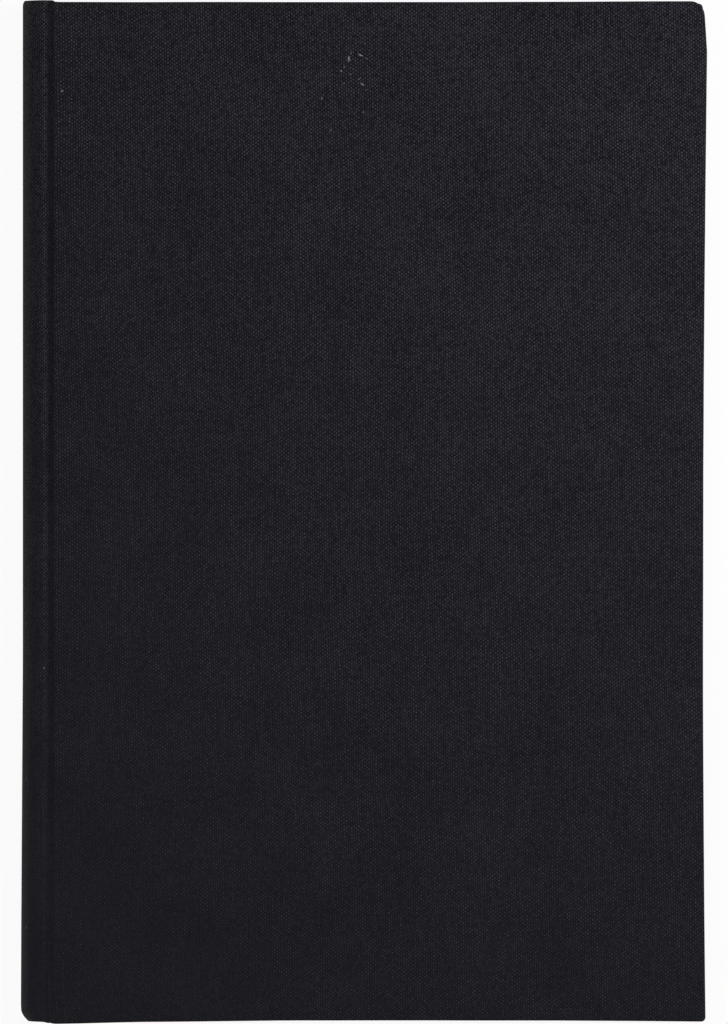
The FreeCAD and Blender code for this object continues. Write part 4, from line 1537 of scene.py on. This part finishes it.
def striped_band():
    """Cream and black thread wound slantwise round the bead; the tape gets the same stripes."""
    material, tree, shader = new_finish("striped_band", roughness=0.65, specular=0.3, sheen=0.2)
    place = object_place(tree)
    parts = add(tree, "SeparateXYZ", place)
    up = sum_of(tree, "SUBTRACT", parts.node.outputs[2], MIDDLE)
    across = sum_of(tree, "SUBTRACT", x_at(SPINE_RADIUS), parts)
    angle = sum_of(tree, "ARCTAN2", up, across)
    slant = sum_of(tree, "MULTIPLY", parts.node.outputs[1], SLANT)
    turns = sum_of(tree, "MULTIPLY", sum_of(tree, "ADD", angle, slant), WINDS / (2 * HALF_BAND))
    wave = sum_of(tree, "SINE", sum_of(tree, "MULTIPLY", turns, math.pi))
    stripe = between(tree, wave, -0.2, 0.2, 0, 1)
    fuzz = noise(tree, moved(tree, place, scale=(1, 4, 1)), 1500, 3)
    cream = mixed(tree, fuzz, (0.56, 0.51, 0.40, 1), (0.80, 0.76, 0.65, 1))
    dark = mixed(tree, fuzz, (0.012, 0.012, 0.016, 1), (0.05, 0.05, 0.06, 1))
    connect(tree, shader, mixed(tree, stripe, cream, dark), fuzz, 0.05 * MM)
    return material


edges, cotton, striped = cut_edges(), open_gauze(), striped_band()
print("also made:", edges.name, cotton.name, striped.name)

# %% [markdown]
# Each piece now gets its finish. The liner is the one node of the frame that stays, since its
# shape is right: only the material in its slots changes.

# %% Give the finishes
for side in ("front", "back"):
    give(boards[side], pulps["binders_board"])
    give(pastedowns[side], pulps["cream_endpaper"])
    give(flyleaves[side], pulps["cream_endpaper"])
    give(mulls[side], cotton)
give(block, edges)
for piece in bands:
    give(piece, striped)
give(spine_card, pulps["rolled_card"])
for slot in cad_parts["spine_liner"].material_slots:
    slot.material = pulps["brown_kraft"]
print("finishes:", sorted(material.name for material in bpy.data.materials if material.users))

# %% [markdown]
# ## Camera
# The camera looks straight down from far away, so that the cover is seen square and nearly
# without perspective. An orthographic camera has none at all, but no real lens sees like that.

# %% Camera
EYE_HEIGHT = 7  # above the cover
VIEW_HEIGHT = 0.30552  # how much of the cover's level the view takes in, top to bottom
SENSOR = 36  # mm
LOOK_AT = (0.00009, -0.0001)

camera = bpy.data.objects.new("camera", bpy.data.cameras.new("camera"))
bpy.context.scene.collection.objects.link(camera)
camera.location = (*LOOK_AT, TOP + EYE_HEIGHT)
camera.data.sensor_width = SENSOR
camera.data.lens = SENSOR * EYE_HEIGHT / VIEW_HEIGHT
camera.data.clip_end = 20  # well past the floor
bpy.context.scene.camera = camera
bpy.context.scene.view_settings.view_transform = "Standard"
print("lens", round(camera.data.lens), "mm, on a sensor", SENSOR, "mm wide")

# %% [markdown]
# ## Floor
# The book lies on a plain pale sheet. More light would whiten it, but would also grey the black
# cloth. So what the camera sees of the floor glows white by itself, mixed with a little of the
# lit floor, which keeps the book's shadow.

# %% Floor
FLOOR = 6  # metres from side to side
SHADOW_KEPT = 0.08  # share of the lit floor in what the camera sees


def pale_floor():
    material = bpy.data.materials.new("pale_floor")
    material.use_nodes = True
    tree = material.node_tree
    tree.nodes.clear()
    cloud = noise(tree, object_place(tree), 3)
    tint = mixed(tree, cloud, (0.78, 0.78, 0.78, 1), (0.82, 0.82, 0.82, 1))
    lit = add(tree, "BsdfDiffuse", tint)
    glow = add(tree, "Emission", (1, 1, 1, 1), 1.0)
    path = tree.nodes.new("ShaderNodeLightPath").outputs
    seen = sum_of(tree, "MAXIMUM", path["Is Camera Ray"], path["Is Glossy Ray"])
    seen = sum_of(tree, "MAXIMUM", seen, path["Is Transmission Ray"])
    share = sum_of(tree, "MULTIPLY", seen, 1 - SHADOW_KEPT)
    surface = tree.nodes.new("ShaderNodeOutputMaterial").inputs["Surface"]
    tree.links.new(add(tree, "MixShader", share, lit, glow), surface)
    return material


bpy.ops.object.select_all(action="DESELECT")
bpy.ops.mesh.primitive_grid_add(x_subdivisions=8, y_subdivisions=8, size=FLOOR, location=(0, 0, 0))
floor = bpy.context.object
floor.name = "floor"
give(floor, pale_floor())
print("floor", FLOOR, "m square")

# %% [markdown]
# ## Light
# A large soft lamp hangs overhead, and a smaller one stands beyond the head and fore edge, low
# enough to show the weave. A strong lamp would give a stronger relief but a hard shadow. Lamps
# and sky together light a level surface about as strongly as a sky of strength 1 alone would.

# %% Lamps and sky
def lamp(name, place, size, power):
    """A round lamp at a place, turned to the middle of the book."""
    data = bpy.data.lights.new(name, "AREA")
    data.shape = "DISK"
    data.size = size
    data.energy = power
    made = bpy.data.objects.new(name, data)
    made.location = place
    made.visible_camera = False
    made.rotation_euler = (-Vector(place)).to_track_quat("-Z", "Y").to_euler()
    bpy.context.scene.collection.objects.link(made)


SKY_LIGHT = 0.5


def plain_sky():
    """Lights evenly from all round, and looks white where the camera sees it."""
    sky = bpy.data.worlds.new("sky")
    sky.use_nodes = True
    tree = sky.node_tree
    tree.nodes.clear()
    light = add(tree, "Background", (0.97, 0.98, 1.0, 1), SKY_LIGHT)
    white = add(tree, "Background", (1, 1, 1, 1), 1.0)
    seen = tree.nodes.new("ShaderNodeLightPath").outputs["Is Camera Ray"]
    surface = tree.nodes.new("ShaderNodeOutputWorld").inputs["Surface"]
    tree.links.new(add(tree, "MixShader", seen, light, white), surface)
    return sky


lamp("key", place=(0.34, 0.20, 0.42), size=0.3, power=1.65)
lamp("overhead", place=(-0.2, 0.2, 2.2), size=1.0, power=9.5)
bpy.context.scene.world = plain_sky()
print("lamps:", sorted(item.name for item in bpy.data.lights))
